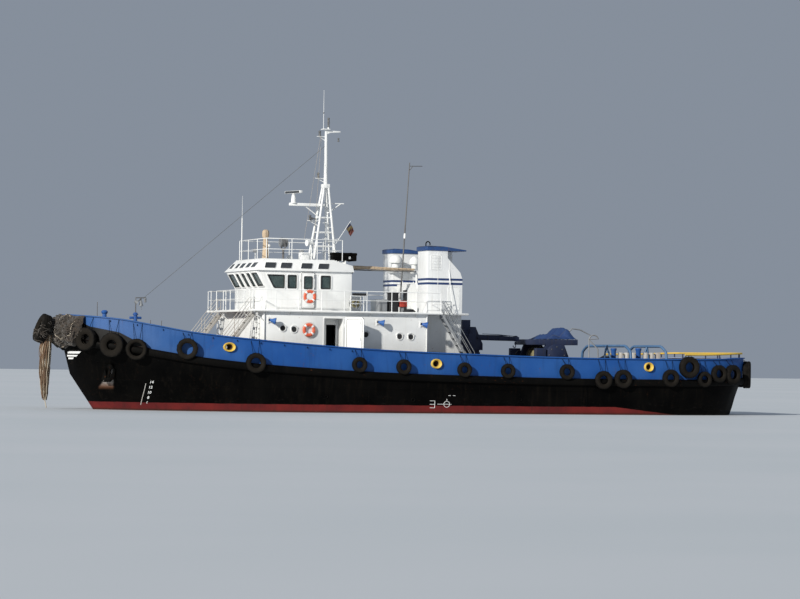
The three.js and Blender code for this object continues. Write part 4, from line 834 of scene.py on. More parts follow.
def strakeRing(point):
    low = deckAt(point[0]) - strake["drop"] - strake["deep"]
    shape = [(strake["skin"], 0.0)]
    for k in range(9):
        a = -math.pi / 2 + math.pi * k / 8
        shape.append((strake["proud"] * (0.62 + 0.38 * math.cos(a)), 0.5 + 0.47 * math.sin(a)))
    # its foot follows the hull's own line there, a little inside the deck edge
    aft, fore, narrow = strake["foot"]
    footX = aft + (point[0] - plan["transom"]) / (plan["stem"] - plan["transom"]) * (fore - aft)
    ring = []
    for out, rise in shape + [(strake["skin"], 1.0)]:
        x, y, z = offsetPoint(point, out, low + strake["deep"] * rise)
        ring.append((x + (footX - point[0]) * (1 - rise), y * (1 - (1 - narrow) * (1 - rise)), z))
    return ring


# One worn tyre: bulging walls, a lugged tread, and open inside
def makeTyre(size, width, hole):
    r, h, rise = size / 2, width / 2, 1 - hole
    outside = [(hole, 0.52), (hole + rise * 0.08, 0.68), (hole + rise * 0.30, 0.92), (hole + rise * 0.55, 1.0),
               (hole + rise * 0.78, 0.96), (0.965, 0.84), (0.985, 0.70), (1.0, 0.62), (1.0, 0.24), (0.975, 0.22),
               (0.975, 0.13), (1.0, 0.11)]
    inside = [(0.90, 0.50), (0.84, 0.70), (hole + rise * 0.5, 0.78), (hole + rise * 0.2, 0.64),
              (hole + rise * 0.06, 0.48)]
    shape = outside + [(a, -b) for a, b in reversed(outside)] + [(a, -b) for a, b in reversed(inside)] + inside
    made = turned([(a * r, b * h) for a, b in shape], steps=tyre["steps"])
    ring = made.data.attributes.new("ring", "FLOAT", "POINT")
    for vertex in made.data.vertices:
        far = math.hypot(vertex.co.x, vertex.co.y)
        ring.data[vertex.index].value = far / r
        turn = math.atan2(vertex.co.y, vertex.co.x) / (2 * math.pi) * tyre["lugs"]
        if far > 0.972 * r and round(turn) % 2:
            vertex.co.x *= 1 - tyre["groove"]
            vertex.co.y *= 1 - tyre["groove"]
    return made


def buildFenders():
    last = next(i for i, point in enumerate(fineEdge) if point[0] > strake["last"])
    bands = pair(ringLoft([strakeRing(point) for point in fineEdge[:last]]), "rubbing_strake", "black",
                 slot="tyre_rubber")
    for (side, _), piece in zip(sides, bands):
        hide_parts("fenders_%s_fore" % side, "fenders_%s_aft" % side)
    masters, tyres, chains = {}, [], []
    spots = [(edgeAt(x), *rest) for x, *rest in sideTyres] + [(edgeAt(y=y), *rest) for y, *rest in transomTyres]
    for index, ((point, normal), z, size, width) in enumerate(spots):
        key = (size, width, tyre["holes"][index] if index < len(tyre["holes"]) else tyre["hole"])
        if key not in masters:
            masters[key] = makeTyre(*key)
        wall = wallAt(point, normal, 0.07 + width / 2, z)
        tyres.append(copyPiece(masters[key], wall @ Matrix.Rotation(random.uniform(0, 6), 4, "Z")))
        rail = railAt(point.x) - 0.10
        for way in (-0.14, 0.14):
            along = Vector((-normal.y, normal.x, 0)) * way * size
            grip = wall.translation + along + Vector((0, 0, size * 0.27))
            hold = Vector((point.x, point.y, rail)) + along * 1.5 + normal * (bulwark["out"] + 0.01)
            over = grip + Vector((0, 0, size * 0.26)) - normal * (width * 0.30)
            bulge = (grip + over) / 2 + normal * width * 0.18
            chains.append([grip, bulge, over, (over + hold) / 2 - Vector((0, 0, 0.01)), hold])
    for master in masters.values():
        bpy.data.objects.remove(master, do_unlink=True)
    pair(tyres, "hung_tyres", "tyre", 45)
    pair(pipe(chains, 0.012, 6), "tyre_hangers", "black", 60, "bare_steel")


buildFenders()
print("fenders built")

stemTyre = {"x": 18.46, "z": 3.88, "size": 1.42, "width": 0.50, "lean": 20, "hole": 0.46}
pudding = {"low": 2.98, "high": 4.58, "bulge": 0.60, "start": 16.72, "across": 130, "rows": 70, "strands": 130}
beard = {"strands": 210, "steps": 12, "sections": [
    (3.56, 18.24, 0.27, 0.40), (3.0, 18.31, 0.28, 0.40), (1.9, 18.33, 0.27, 0.34), (1.0, 18.33, 0.22, 0.25),
    (0.42, 18.31, 0.14, 0.13)]}


def within(value):
    return min(max(value, 0.0), 1.0)


# The pudding is a pad of old rope and netting lashed round the stem head, worn into a ragged tangle
def buildPudding():
    half = [point for point in fineEdge if point[0] > pudding["start"]]
    ring = half + [(x, -y, nx, -ny) for x, y, nx, ny in reversed(half[:-1])]
    lengths = [0.0]
    for a, b in zip(ring, ring[1:]):
        lengths.append(lengths[-1] + math.hypot(b[0] - a[0], b[1] - a[1]))

    def surface(f, g, lift=0.0):
        want = within(f) * lengths[-1]
        i = next(k for k in range(1, len(lengths)) if lengths[k] >= want - 1e-9)
        t = (want - lengths[i - 1]) / (lengths[i] - lengths[i - 1])
        x, y, nx, ny = (p + (q - p) * t for p, q in zip(ring[i - 1], ring[i]))
        far, ends = math.hypot(nx, ny), math.sin(math.pi * within(f))
        low = pudding["low"] + 0.42 * (1 - ends) ** 2 + 0.06 * math.sin(31 * f)
        high = pudding["high"] - 0.10 * (1 - ends) + 0.03 * math.sin(23 * f + 1)
        spot = Vector((f * 9, g * 3.2, 1.7))
        ragged = sum(much * randomField.noise(spot * fine) for much, fine in ((0.10, 1), (0.07, 2.7), (0.04, 6.1)))
        belly = max(math.sin(math.pi * within(g)), 0.0) ** 0.62
        out = pudding["bulge"] * belly * (0.45 + 0.55 * min(1.0, ends * 2.2) ** 0.7) + ragged * belly ** 0.5 + lift
        out = max(out, 0.034)
        return x + nx / far * out, y + ny / far * out, low + (high - low) * g

    def place(u, v):
        return surface(u / pudding["across"], v / pudding["rows"], -9.0 if v in (0, pudding["rows"]) else 0.0)

    front = solidify(grid(pudding["across"], pudding["rows"], place), 0.03, -1)
    finish(front, "bow_pudding_rope", "pudding", 80, node="bow_pudding")
    thick, thin = [], []
    for k in range(pudding["strands"]):
        f, g = random.uniform(0.03, 0.97), random.uniform(0.08, 0.97)
        way = random.uniform(-0.5, 0.5) + (1.57 if k % 3 == 0 else 0)
        run = []
        for step in range(random.randint(7, 15)):
            run.append(surface(f, min(max(g, 0.04), 0.985), 0.012 + 0.035 * abs(math.sin(step * 0.9 + k))))
            way += random.uniform(-0.5, 0.5)
            f += 0.020 * math.cos(way)
            g -= (0.03 if k % 3 else 0.045) * math.sin(way)
        (thick if k % 7 else thin).append(run)
    finish(pipe(thick, 0.030, 6), "pudding_lashings", "pudding", 70)
    finish(pipe(thin, 0.014, 5), "pudding_frayed_ends", "paleRope", 70)


# Frayed old rope hanging under the stem tyre, ragged below and ending in one pale tail
def buildBeard():
    runs, tails = [], [[(18.31, 0.02, 0.75), (18.33, 0.0, 0.55), (18.27, 0.0, 0.30), (18.22, 0.01, 0.05)]]
    spots, steps = beard["sections"], beard["steps"]
    for k in range(beard["strands"]):
        far = math.sqrt((k + 0.5) / beard["strands"])
        last = spots[-1][0] + random.uniform(0.0, 1.0) ** 1.6 * 1.5
        run = []
        for i in range(steps + 1):
            z = spots[0][0] + (last - spots[0][0]) * i / steps
            j = max(1, next((n for n in range(1, len(spots)) if spots[n][0] <= z + 1e-6), len(spots) - 1))
            a, b = spots[j - 1], spots[j]
            t = (a[0] - z) / (a[0] - b[0])
            cx, hx, hy = (a[n] + (b[n] - a[n]) * t for n in (1, 2, 3))
            spot = Vector((k * 0.61, z * 1.9, 4.2))
            sway = 0.075 * randomField.noise(spot) + 0.03 * randomField.noise(spot * 2.6)
            swirl = k * 2.39996 + 0.5 * randomField.noise(Vector((z * 0.8, far * 3, k * 0.02)))
            run.append((cx + far * (hx - 0.03) * math.cos(swirl) + sway,
                        far * (hy - 0.03) * math.sin(swirl) + sway * 0.7, z, 1.0 - 0.5 * i / steps))
        (runs if k % 5 else tails).append(run)
    finish(pipe(runs, 0.024, 6), "bow_beard_strands", "beard", 70, node="bow_beard")
    finish(pipe(tails, 0.026, 6), "bow_beard_pale_strands", "paleRope", 70)


def buildStemTyre():
    turn = Matrix.Translation((stemTyre["x"], 0, stemTyre["z"]))
    turn = turn @ Matrix.Rotation(math.radians(90 - stemTyre["lean"]), 4, "Y")
    made = moved(makeTyre(stemTyre["size"], stemTyre["width"], stemTyre["hole"]), turn)
    finish(made, "stem_tyre_worn", "tyre", 45, node="stem_tyre")
    # old rope wound round the tyre and down into the beard
    loops, middle, fat = [], stemTyre["size"] * 0.365, 0.235
    for k in range(30):
        a = random.uniform(0.35, 2.3) * (1 if k % 3 else -1)
        loop, start = [], random.uniform(0, 6.28)
        for step in range(random.randint(6, 13)):
            b = start + step * 0.34
            reach = fat * (0.98 + 0.16 * randomField.noise(Vector((k, step * 0.5, 0.3))))
            swing = a + 0.5 * randomField.noise(Vector((k * 3.1, step * 0.22, 7.7)))
            far = middle + reach * 0.95 * math.cos(b)
            spot = Vector((far * math.cos(swing), far * math.sin(swing), reach * 1.12 * math.sin(b)))
            loop.append(tuple(turn @ spot))
        loops.append(loop)
    finish(pipe(loops, 0.019, 6), "stem_tyre_lashings", "pudding", 70)


buildPudding()
buildBeard()
buildStemTyre()
print("bow fender built")


# Flat shapes with rounded corners, for windows, doors and plates
def flatShape(outline, corner=0.0):
    piece = plate([(u, v, 0) for u, v in outline])
    if corner:
        editAll(piece)
        bpy.ops.mesh.bevel(offset=corner, segments=4, affect="VERTICES")
        leaveEdit()
    return piece


def thicken(piece, thickness):
    return solidify(tidyMesh(piece, merge=0.00005), thickness)


def grown(outline, amount):
    count = len(outline)
    middle = [sum(point[k] for point in outline) / count for k in (0, 1)]
    result = []
    for i, point in enumerate(outline):
        lines = []
        for a, b in ((outline[i - 1], point), (point, outline[(i + 1) % count])):
            du, dv = b[0] - a[0], b[1] - a[1]
            far = math.hypot(du, dv)
            nu, nv = dv / far, -du / far
            if (a[0] - middle[0]) * nu + (a[1] - middle[1]) * nv < 0:
                nu, nv = -nu, -nv
            lines.append((nu, nv, nu * a[0] + nv * a[1] + amount))
        (a1, b1, c1), (a2, b2, c2) = lines
        det = a1 * b2 - a2 * b1
        result.append(((c1 * b2 - c2 * b1) / det, (a1 * c2 - a2 * c1) / det))
    return result


def frameRing(outline, border, thick, corner=0.06, inward=0.0):
    piece = flatShape(grown(outline, border), corner + border)
    editAll(piece)
    bpy.ops.mesh.inset(thickness=border + inward, depth=0)
    bpy.ops.mesh.delete(type="FACE")
    leaveEdit()
    return bevelEdges(thicken(piece, thick), min(0.008, thick * 0.3), 2, 50)


# Glass, rubber gasket and outer frame of one window, set in the wall by its matrix
def windowParts(outline, matrix, parts, corner=0.07, border=0.05, proud=0.05, out=0.01, deep=-0.03):
    glass = thicken(flatShape(grown(outline, 0.012), corner), 0.012)
    gasket = frameRing(outline, 0.028, 0.030, corner, 0.028)
    rim = frameRing(grown(outline, 0.02), border, proud, corner)
    for key, piece, shift in (("glass", glass, deep), ("gasket", gasket, out), ("rim", rim, out)):
        parts.setdefault(key, []).append(moved(piece, matrix @ Matrix.Translation((0, 0, shift))))


def sideWall(y):
    return facing((0, y, 0), (-1 if y > 0 else 1, 0, 0))


def onSide(outline, side):
    return outline if side < 0 else [(-x, z) for x, z in outline]


def corners(x0, x1, z0, z1):
    return [(x0, z0), (x1, z0), (x1, z1), (x0, z1)]


bridge = {
    "half": 2.5, "front": 7.95, "aft": 3.52, "sill": 6.05, "eave": (8.43, 6.89), "frontZ": (6.15, 6.76),
    "sideWindows": [[(7.03, 6.04), (7.56, 6.04), (7.90, 6.67), (7.03, 6.67)], corners(6.41, 6.85, 6.04, 6.67),
                    corners(4.64, 5.13, 6.04, 6.67)],
    "frontWindows": [(-2.29, -1.42), (-1.09, -0.64), (-0.225, 0.225), (0.64, 1.09), (1.42, 2.29)],
    "backWindows": [(-1.7, -0.7), (0.7, 1.7)], "visorEave": (8.49, 2.62, 6.89), "visorTop": (8.02, 2.25, 7.45),
    "visorFront": [(-2.18, -1.78), (-1.29, -0.89), (-0.55, 0.0), (0.41, 0.95), (1.27, 1.90)],
    "visorSide": [(7.98, 7.48), (7.17, 6.66), (6.11, 5.60), (5.22, 4.73)], "visorCut": (0.03, 0.02, 0.03, 0.008, 0.012),
}


def buildBridgeWindows():
    parts, visor = {}, {}
    for _, side in sides:
        for outline in bridge["sideWindows"]:
            windowParts(onSide(outline, side), sideWall(side * bridge["half"]), parts, 0.06)
    foot, head = Vector((bridge["front"], 0, bridge["sill"])), Vector((bridge["eave"][0], 0, bridge["eave"][1]))
    lean = facing(foot, (0, 1, 0), head - foot)
    slope = (head - foot).length / (head.z - foot.z)
    z0, z1 = ((z - foot.z) * slope for z in bridge["frontZ"])
    for y0, y1 in bridge["frontWindows"]:
        windowParts(corners(y0, y1, z0, z1), lean, parts, 0.06)
    for y0, y1 in bridge["backWindows"]:
        windowParts(corners(y0, y1, 6.04, 6.67), facing((bridge["aft"], 0, 0), (0, -1, 0)), parts, 0.06)
    # narrow look-up windows in the roof's slope, smoked near-black: tinted glass, and painted shade for the room behind
    eave, top = bridge["visorEave"], bridge["visorTop"]
    up = Vector((top[0] - eave[0], 0, top[2] - eave[2])).normalized()
    for y0, y1 in bridge["visorFront"]:
        outline = corners(y0, y1, (7.06 - eave[2]) / up.z, (7.26 - eave[2]) / up.z)
        windowParts(outline, facing((eave[0], 0, eave[2]), (0, 1, 0), up), visor, *bridge["visorCut"])
    for _, side in sides:
        up = Vector((0, side * (top[1] - eave[1]), top[2] - eave[2])).normalized()
        wall = facing((0, side * eave[1], eave[2]), (-side, 0, 0), up)
        low, high = (7.02 - eave[2]) / up.z, (7.25 - eave[2]) / up.z
        for x1, x0 in bridge["visorSide"]:
            shape = [(x0 - 0.04, high), (x1 - 0.04, high), (x1 + 0.06, low), (x0 + 0.06, low)]
            windowParts([(-side * x, v) for x, v in shape], wall, visor, *bridge["visorCut"])
    finish(visor["glass"] + visor["gasket"], "visor_panes", "smoked")
    finish(parts["glass"], "bridge_glass", "glass")
    finish(parts["gasket"], "bridge_gaskets", "rubber")
    finish(parts["rim"] + visor["rim"], "bridge_window_rims", "white")


def buildBridgeInside():
    desk = box((6.95, -2.1, 5.0), (7.75, 2.1, 5.95), 0.03)
    for vertex in desk.data.vertices:
        if vertex.co.z > 5.8 and vertex.co.x < 7.3:
            vertex.co.z -= 0.16
    parts = [desk] + boxes((3.62, -2.3, 5.0, 4.1, 0.5, 5.95, 0.02),
                           *((7.15, y - 0.28, 5.93, 7.32, y + 0.28, 6.22, 0.02) for y in (-1.3, 0.0, 1.3)))
    for y in (-0.75, 0.75):
        seat = [(0.001, 4.99), (0.26, 4.99), (0.26, 5.02), (0.06, 5.06), (0.05, 5.42), (0.001, 5.42)]
        parts.append(turned(seat, (6.35, y, 0)))
        parts += boxes((6.10, y - 0.26, 5.42, 6.62, y + 0.26, 5.56, 0.05, 3),
                       (6.06, y - 0.24, 5.56, 6.18, y + 0.24, 6.22, 0.05, 3))
    finish(parts, "bridge_inside", "dark")


# Rim, dogs, handle and window of one outside door, on the door's own leaf
def buildDoorFittings(name, body, matrix, low, high, window=None):
    def rim(inset, *sizes):
        ring = frameRing(corners(low[0] + inset, high[0] - inset, low[1] + inset, high[1] - inset), *sizes)
        return moved(ring, matrix @ Matrix.Translation((0, 0, 0.004)))

    metal = [rim(0.06, 0.02, 0.012, 0.09)]
    finish(rim(0.02, 0.018, 0.010, 0.07), name + "_seal", "rubber", body=body)
    for z in (low[1] + 0.25, (low[1] + high[1]) / 2, high[1] - 0.25):
        hub = turned([(0.001, 0), (0.028, 0), (0.028, 0.03), (0.014, 0.045), (0.001, 0.045)], steps=12)
        arm = box((-0.012, -0.012, 0.03), (0.012, 0.16, 0.05), 0.005)
        metal += [moved(part, matrix @ Matrix.Translation((high[0] - 0.10, z, 0))) for part in (hub, arm)]
    finish(metal, name + "_fittings", "white", body=body)
    if window:
        parts = {}
        windowParts(window, matrix, parts, 0.05, 0.03, 0.03, 0.004, 0.006)
        for key, end, look in (("glass", "_glass", "glass"), ("gasket", "_gasket", "rubber"),
                               ("rim", "_window_rim", "white")):
            finish(parts[key], name + end, look, body=body)


def buildDoors():
    for name, side in sides:
        low, high = ((-6.18, 5.04), (-5.45, 6.83)) if side > 0 else ((5.45, 5.04), (6.18, 6.83))
        leaf = "wheelhouse_door_" + name
        window = onSide(corners(5.60, 6.02, 6.02, 6.62), side)
        buildDoorFittings(leaf, leaf, sideWall(side * (2.536 + 0.0205)), low, high, window)
        # the deckhouse door stands open on the port side, and is shut to starboard
        swing = math.radians(130) if side > 0 else 0.0
        base = Matrix.Translation((4.24, side * 3.536, 0)) @ Matrix.Rotation(swing, 4, "Z")
        faces = [("out", 1, (0.06, 1.08, 2.43, 4.64)), ("in", -1, (0.12, 1.02, 2.50, 4.57))]
        for face, way, (a, b, low, high) in faces[:2 if side > 0 else 1]:
            turn = base @ facing((0, side * 0.0228 * way, 0), (-way * side, 0, 0))
            ends = ((-b, low), (-a, high)) if way * side > 0 else ((a, low), (b, high))
            buildDoorFittings("deckhouse_door_%s_%s" % (name, face), "deckhouse_door_" + name, turn, *ends)


walls = {
    "portholes": [(7.42, 4.06), (6.84, 4.01), (3.12, 3.82), (1.34, 3.75), (0.75, 3.74)], "portholeSize": 0.16,
    "lamps": [(8.03, 4.40), (2.42, 4.40), (0.13, 4.34)], "rings": [(6.10, 3.60, 4.0), (6.13, 3.74, 5.62)],
    "ringSize": (0.325, 0.075), "ladders": [-3.2, 3.0], "ladderX": 8.45, "ladderZ": (3.45, 4.72), "rungs": 5,
}


def buildPortholes():
    rims, panes, r = [], [], walls["portholeSize"]
    rim = [(0.84, 0.0), (0.84, 0.030), (0.88, 0.042), (1.05, 0.042), (1.10, 0.03), (1.10, 0.0)]
    for side, x, z in ((side, x, z) for _, side in sides for x, z in walls["portholes"]):
        spot = ((x, side * 3.5, z), (0, side, 0))
        rims.append(turned([(r * wide, rise) for wide, rise in rim], *spot, 28))
        # the porthole panes are near-black: painted shade for the unlit room behind the glass
        pane = [(0.0005, 0.004), (0.0005, 0.016), (r * 0.5, 0.020), (r * 0.87, 0.016), (r * 0.87, 0.004)]
        panes.append(turned(pane, *spot, 24))
        hood = turned([(r * 1.16, 0.0), (r * 1.22, 0.0), (r * 1.22, 0.07), (r * 1.16, 0.07)], *spot, 28)
        editAll(hood)
        bpy.ops.mesh.bisect(plane_co=(x, 0, z + 0.06), plane_no=upward, clear_inner=True, use_fill=True)
        leaveEdit()
        rims.append(hood)
    finish(rims, "porthole_rims", "white")
    finish(panes, "porthole_panes_painted_shade", "dark")


# Conical floodlights on brackets along the house side, pointing aft over the side deck
def buildFloodlights():
    shades, caps, inside, brackets = [], [], [], []
    shell = [(0.045, 0.0), (0.06, 0.02), (0.075, 0.10), (0.10, 0.16), (0.17, 0.30), (0.175, 0.31),
             (0.165, 0.31), (0.092, 0.165), (0.065, 0.11), (0.045, 0.03)]
    cap = [(0.0005, -0.05), (0.05, -0.045), (0.06, -0.01), (0.06, 0.012), (0.0005, 0.02)]
    glow = [(0.0005, 0.20), (0.10, 0.20), (0.112, 0.215), (0.06, 0.235), (0.0005, 0.245)]
    for side, x, z in ((side, x + 0.12, z) for _, side in sides for x, z in walls["lamps"]):
        spot = ((x, side * 3.66, z + 0.05), (-0.9, side * 0.40, -0.20))
        for group, section, steps in ((shades, shell, 28), (caps, cap, 20), (inside, glow, 20)):
            group.append(turned(section, *spot, steps))
        arm = [(x, side * 3.5, z + 0.16), (x, side * 3.66, z + 0.16), (x, side * 3.66, z + 0.06)]
        brackets.append(pipe([arm, [(x, side * 3.5, z - 0.10), (x, side * 3.64, z + 0.04)]], 0.014))
        brackets.append(box((x - 0.06, side * 3.495, z - 0.14), (x + 0.06, side * 3.512, z + 0.20), 0.004))
    finish(shades, "floodlight_shades", "blue")
    finish(caps, "floodlight_caps", "black")
    finish(inside, "floodlight_glass", "chrome")
    finish(brackets, "floodlight_brackets", "white")


# A ring buoy: fat ring with four bands, and a grab line on the outside
def makeBuoy(place, axis):
    size, fat = walls["ringSize"]

    def torus(wide, thick):
        turns = (2 * math.pi * k / 18 for k in range(18))
        return turned([(size - fat + fat * wide * math.cos(a), fat * thick * math.sin(a)) for a in turns], steps=64)

    ring, bands, line = torus(1.05, 0.62), [], []
    for k in range(4):
        start = math.pi / 4 + k * math.pi / 2
        band = torus(1.10, 0.68)
        editAll(band)
        cuts = [((-math.sin(start + shift) * sign, math.cos(start + shift) * sign, 0), {"clear_outer": True})
                for shift, sign in ((-0.17, -1), (0.17, 1))]
        for way, side in cuts + [((math.cos(start), math.sin(start), 0), {"clear_inner": True})]:
            bpy.ops.mesh.select_all(action="SELECT")
            bpy.ops.mesh.bisect(plane_co=(0, 0, 0), plane_no=way, use_fill=True, **side)
        leaveEdit()
        bands.append(band)
        for j in range(9):
            a, far = start + j / 8 * math.pi / 2, size + 0.012 + 0.028 * math.sin(math.pi * j / 8)
            line.append((far * math.cos(a), far * math.sin(a), 0))
    return [[turnTo(part, place, axis) for part in group] for group in ([ring], bands, [pipe([line], 0.008, 6)])]


def buildBuoys():
    made = [makeBuoy((x, side * y, z), (0, side, 0)) for _, side in sides for x, y, z in walls["rings"]]
    for index, (name, look) in enumerate((("ring_buoys", "orange"), ("ring_buoy_bands", "white"),
                                          ("ring_buoy_lines", "paleRope"))):
        finish([part for buoy in made for part in buoy[index]], name, look, 60)


def buildWallLadders():
    parts, steps, x, (low, high) = [], [], walls["ladderX"], walls["ladderZ"]
    for y in walls["ladders"]:
        ends = (y - 0.17, y + 0.17)
        stiles = [[(x, end, z), (x + 0.13, end, z)] for end in ends for z in (low + 0.1, high - 0.1)]
        parts.append(pipe(stiles + [[(x + 0.13, end, low), (x + 0.13, end, high)] for end in ends], 0.022))
        rises = (low + (high - low) * (k + 0.5) / walls["rungs"] for k in range(walls["rungs"]))
        steps.append(pipe([[(x + 0.13, end, z) for end in ends] for z in rises], 0.017))
    finish(parts, "front_wall_ladders", "white", 60)
    # the rungs are drawn dark, against the white stiles and wall
    finish(steps, "front_wall_rungs", "steel", 60)


# The boat deck's edge beam, gutters and pillars under the overhangs
def buildDeckTrim():
    parts = []
    for _, side in sides:
        y, inner = side * 3.715, side * 3.18
        parts.append(pipe([[(9.04, side * 3.60, 4.915), (9.04, y, 4.915), (-0.84, y, 4.915)]], 0.030))
        parts.append(pipe([[(-0.86, inner, 4.915), (-2.44, inner, 4.915), (-2.44, side * 2.9, 4.915)]], 0.030))
        for x in (8.3, 7.1, 5.9, 2.9, 1.7, 0.5):
            web = thicken(flatShape([(0, 0), (0.20, 0), (0, -0.16)]), 0.012)
            parts.append(moved(web, facing((x, side * 3.505, 4.855), (0, side, 0))))
        for x, z in ((8.38, 2.6), (-0.08, 2.4)):
            parts.append(pipe([[(x, side * 3.55, 4.86), (x, side * 3.55, z)]], 0.025))
    for y in (3.55, -3.55, 1.9, -1.9):
        parts.append(pipe([[(8.95, y, 4.87), (8.95 - 0.5, y * 0.995, 4.45)]], 0.025))
    finish(parts, "boat_deck_trim", "white", 50)


# The doorways in the house sides: frame, lining of the lobby behind, and beyond it a near-black wall that paints the
# shade of the passage
def buildAlcove():
    lining, backs = [], []
    for name, side in sides:
        ring = frameRing(onSide(corners(4.305, 5.29, 2.485, 4.585), side), 0.055, 0.020, 0.05, 0.006)
        finish(moved(ring, sideWall(side * 3.50)), "deckhouse_doorway_" + name, "white")
        for x0, y0, z0, x1, y1, z1 in ((4.22, 2.70, 2.2, 4.28, 3.41, 4.80), (5.33, 2.70, 2.2, 5.39, 3.41, 4.80),
                                       (4.22, 2.64, 2.2, 4.40, 2.70, 4.80), (4.90, 2.64, 2.2, 5.39, 2.70, 4.80),
                                       (4.22, 2.64, 4.62, 5.39, 3.41, 4.68), (4.40, 2.64, 4.28, 4.90, 2.70, 4.66)):
            lining.append(box((x0, side * y0, z0), (x1, side * y1, z1), 0.006))
        # a near-black wall deep in each doorway: painted shade for the passage
        backs.append(box((4.1, side * 1.4, 2.2), (5.7, side * 1.46, 4.8), 0.01))
    finish(lining, "doorway_lining", "white")
    finish(backs, "passage_painted_shade", "dark")


for build in (buildBridgeWindows, buildBridgeInside, buildDoors, buildPortholes, buildFloodlights, buildBuoys,
              buildWallLadders, buildDeckTrim, buildAlcove):
    build()
print("house fitted")


# Rails: round posts on pads, with bars that bend round the corners
def railing(name, spots, base, bars, spacing, node):
    runs, thin, pads = [], [], []
    closed = spots[0] == spots[-1]
    for h in bars:
        path = [(*spots[0], base + h)]
        for before, spot, after in zip(spots, spots[1:], spots[2:]):
            for other in (before, after):
                near = Vector(spot) + (Vector(other) - Vector(spot)).normalized() * 0.08
                path.append((near.x, near.y, base + h))
        (runs if h == bars[-1] else thin).append(path + [(*spots[-1], base + h)])
    for i, (a, b) in enumerate(zip(spots, spots[1:])):
        a, b = Vector(a), Vector(b)
        bays = max(1, round((b - a).length / spacing))
        for k in range(0 if i == 0 else 1, bays + (0 if closed and i == len(spots) - 2 else 1)):
            x, y = a + (b - a) * k / bays
            runs.append([(x, y, base + 0.001), (x, y, base + bars[-1])])
            pads.append(knob([(0.055, 0), (0.055, 0.010), (0.03, 0.018)], (x, y, base + 0.001), steps=12))
    finish([pipe(runs, 0.021), pipe(thin, 0.021 * 0.72)] + pads, name, "white", 60, node=node)


def slopedLadder(stem, name, side, topX, topZ, footX, footZ, y0, y1, treads, look):
    parts, runs, high = [], [], 0.9
    along, up = Vector((footX - topX, 0, footZ - topZ)), Vector((0, 0, high))
    for y in (y0 + 0.016, y1 - 0.016):
        stringer = flatShape([(topX, topZ + 0.105), (footX, footZ + 0.105), (footX, footZ - 0.105),
                              (topX, topZ - 0.105)])
        stringer = moved(thicken(stringer, 0.026), facing((0, y, 0), outward))
        parts.append(bevelEdges(stringer, 0.004, 1, 50))
        first, final = Vector((topX, y, topZ)) + along * 0.04, Vector((topX, y, topZ)) + along * 0.96
        middle = (first + final) / 2
        runs += [[first, first + up * 0.9, first + up + along * 0.03, final + up - along * 0.03, final + up * 0.9,
                  final],
                 [middle, middle + up], [first + up * 0.5, final + up * 0.5]]
    parts.append(pipe(runs, 0.017))
    for k in range(treads):
        t = (k + 0.5) / treads
        x, z = topX + (footX - topX) * t, topZ + (footZ - topZ) * t
        parts.append(box((x - 0.11, y0 + 0.03, z - 0.014), (x + 0.11, y1 - 0.03, z + 0.014), 0.005))
        for j in range(3):
            start = x - 0.075 + j * 0.06
            parts.append(box((start, y0 + 0.04, z + 0.013), (start + 0.01, y1 - 0.04, z + 0.021)))
    piece = join(parts)
    if side < 0:
        tidyMesh(moved(piece, starboardFlip), merge=0.00001)
    finish(piece, stem + name + "_steps", look, 50, node=stem + name)


deckBars = (0.52, 0.97)
for name, side in sides:
    run = [(8.99, side * 3.16), (8.99, side * 3.65), (3.13, side * 3.65), (-0.78, side * 3.65)]
    railing("boat_deck_railing_" + name, run, 4.96, deckBars, 1.25, "boat_deck_rail_" + name)
    slopedLadder("front_ladder_", name, side, 8.64, 4.83, 10.42, 2.54, 2.40, 3.01, 7, "buff")
    slopedLadder("aft_stair_", name, side, -0.88, 4.84, -2.70, 1.96, 3.2, 3.7, 9, "grey")
railing("bridge_front_railing", [(8.5, -2.25), (8.99, -2.25), (8.99, 2.25), (8.5, 2.25)], 4.96, deckBars, 1.1,
        "bridge_front_rail")
roofRun = [(3.9, -2.13), (3.9, 2.13), (7.85, 2.13), (7.85, -2.13), (3.9, -2.13)]
railing("monkey_island_railing", roofRun, 7.45, (0.50, 1.02), 1.32, "monkey_island_rail")
print("rails and ladders built")


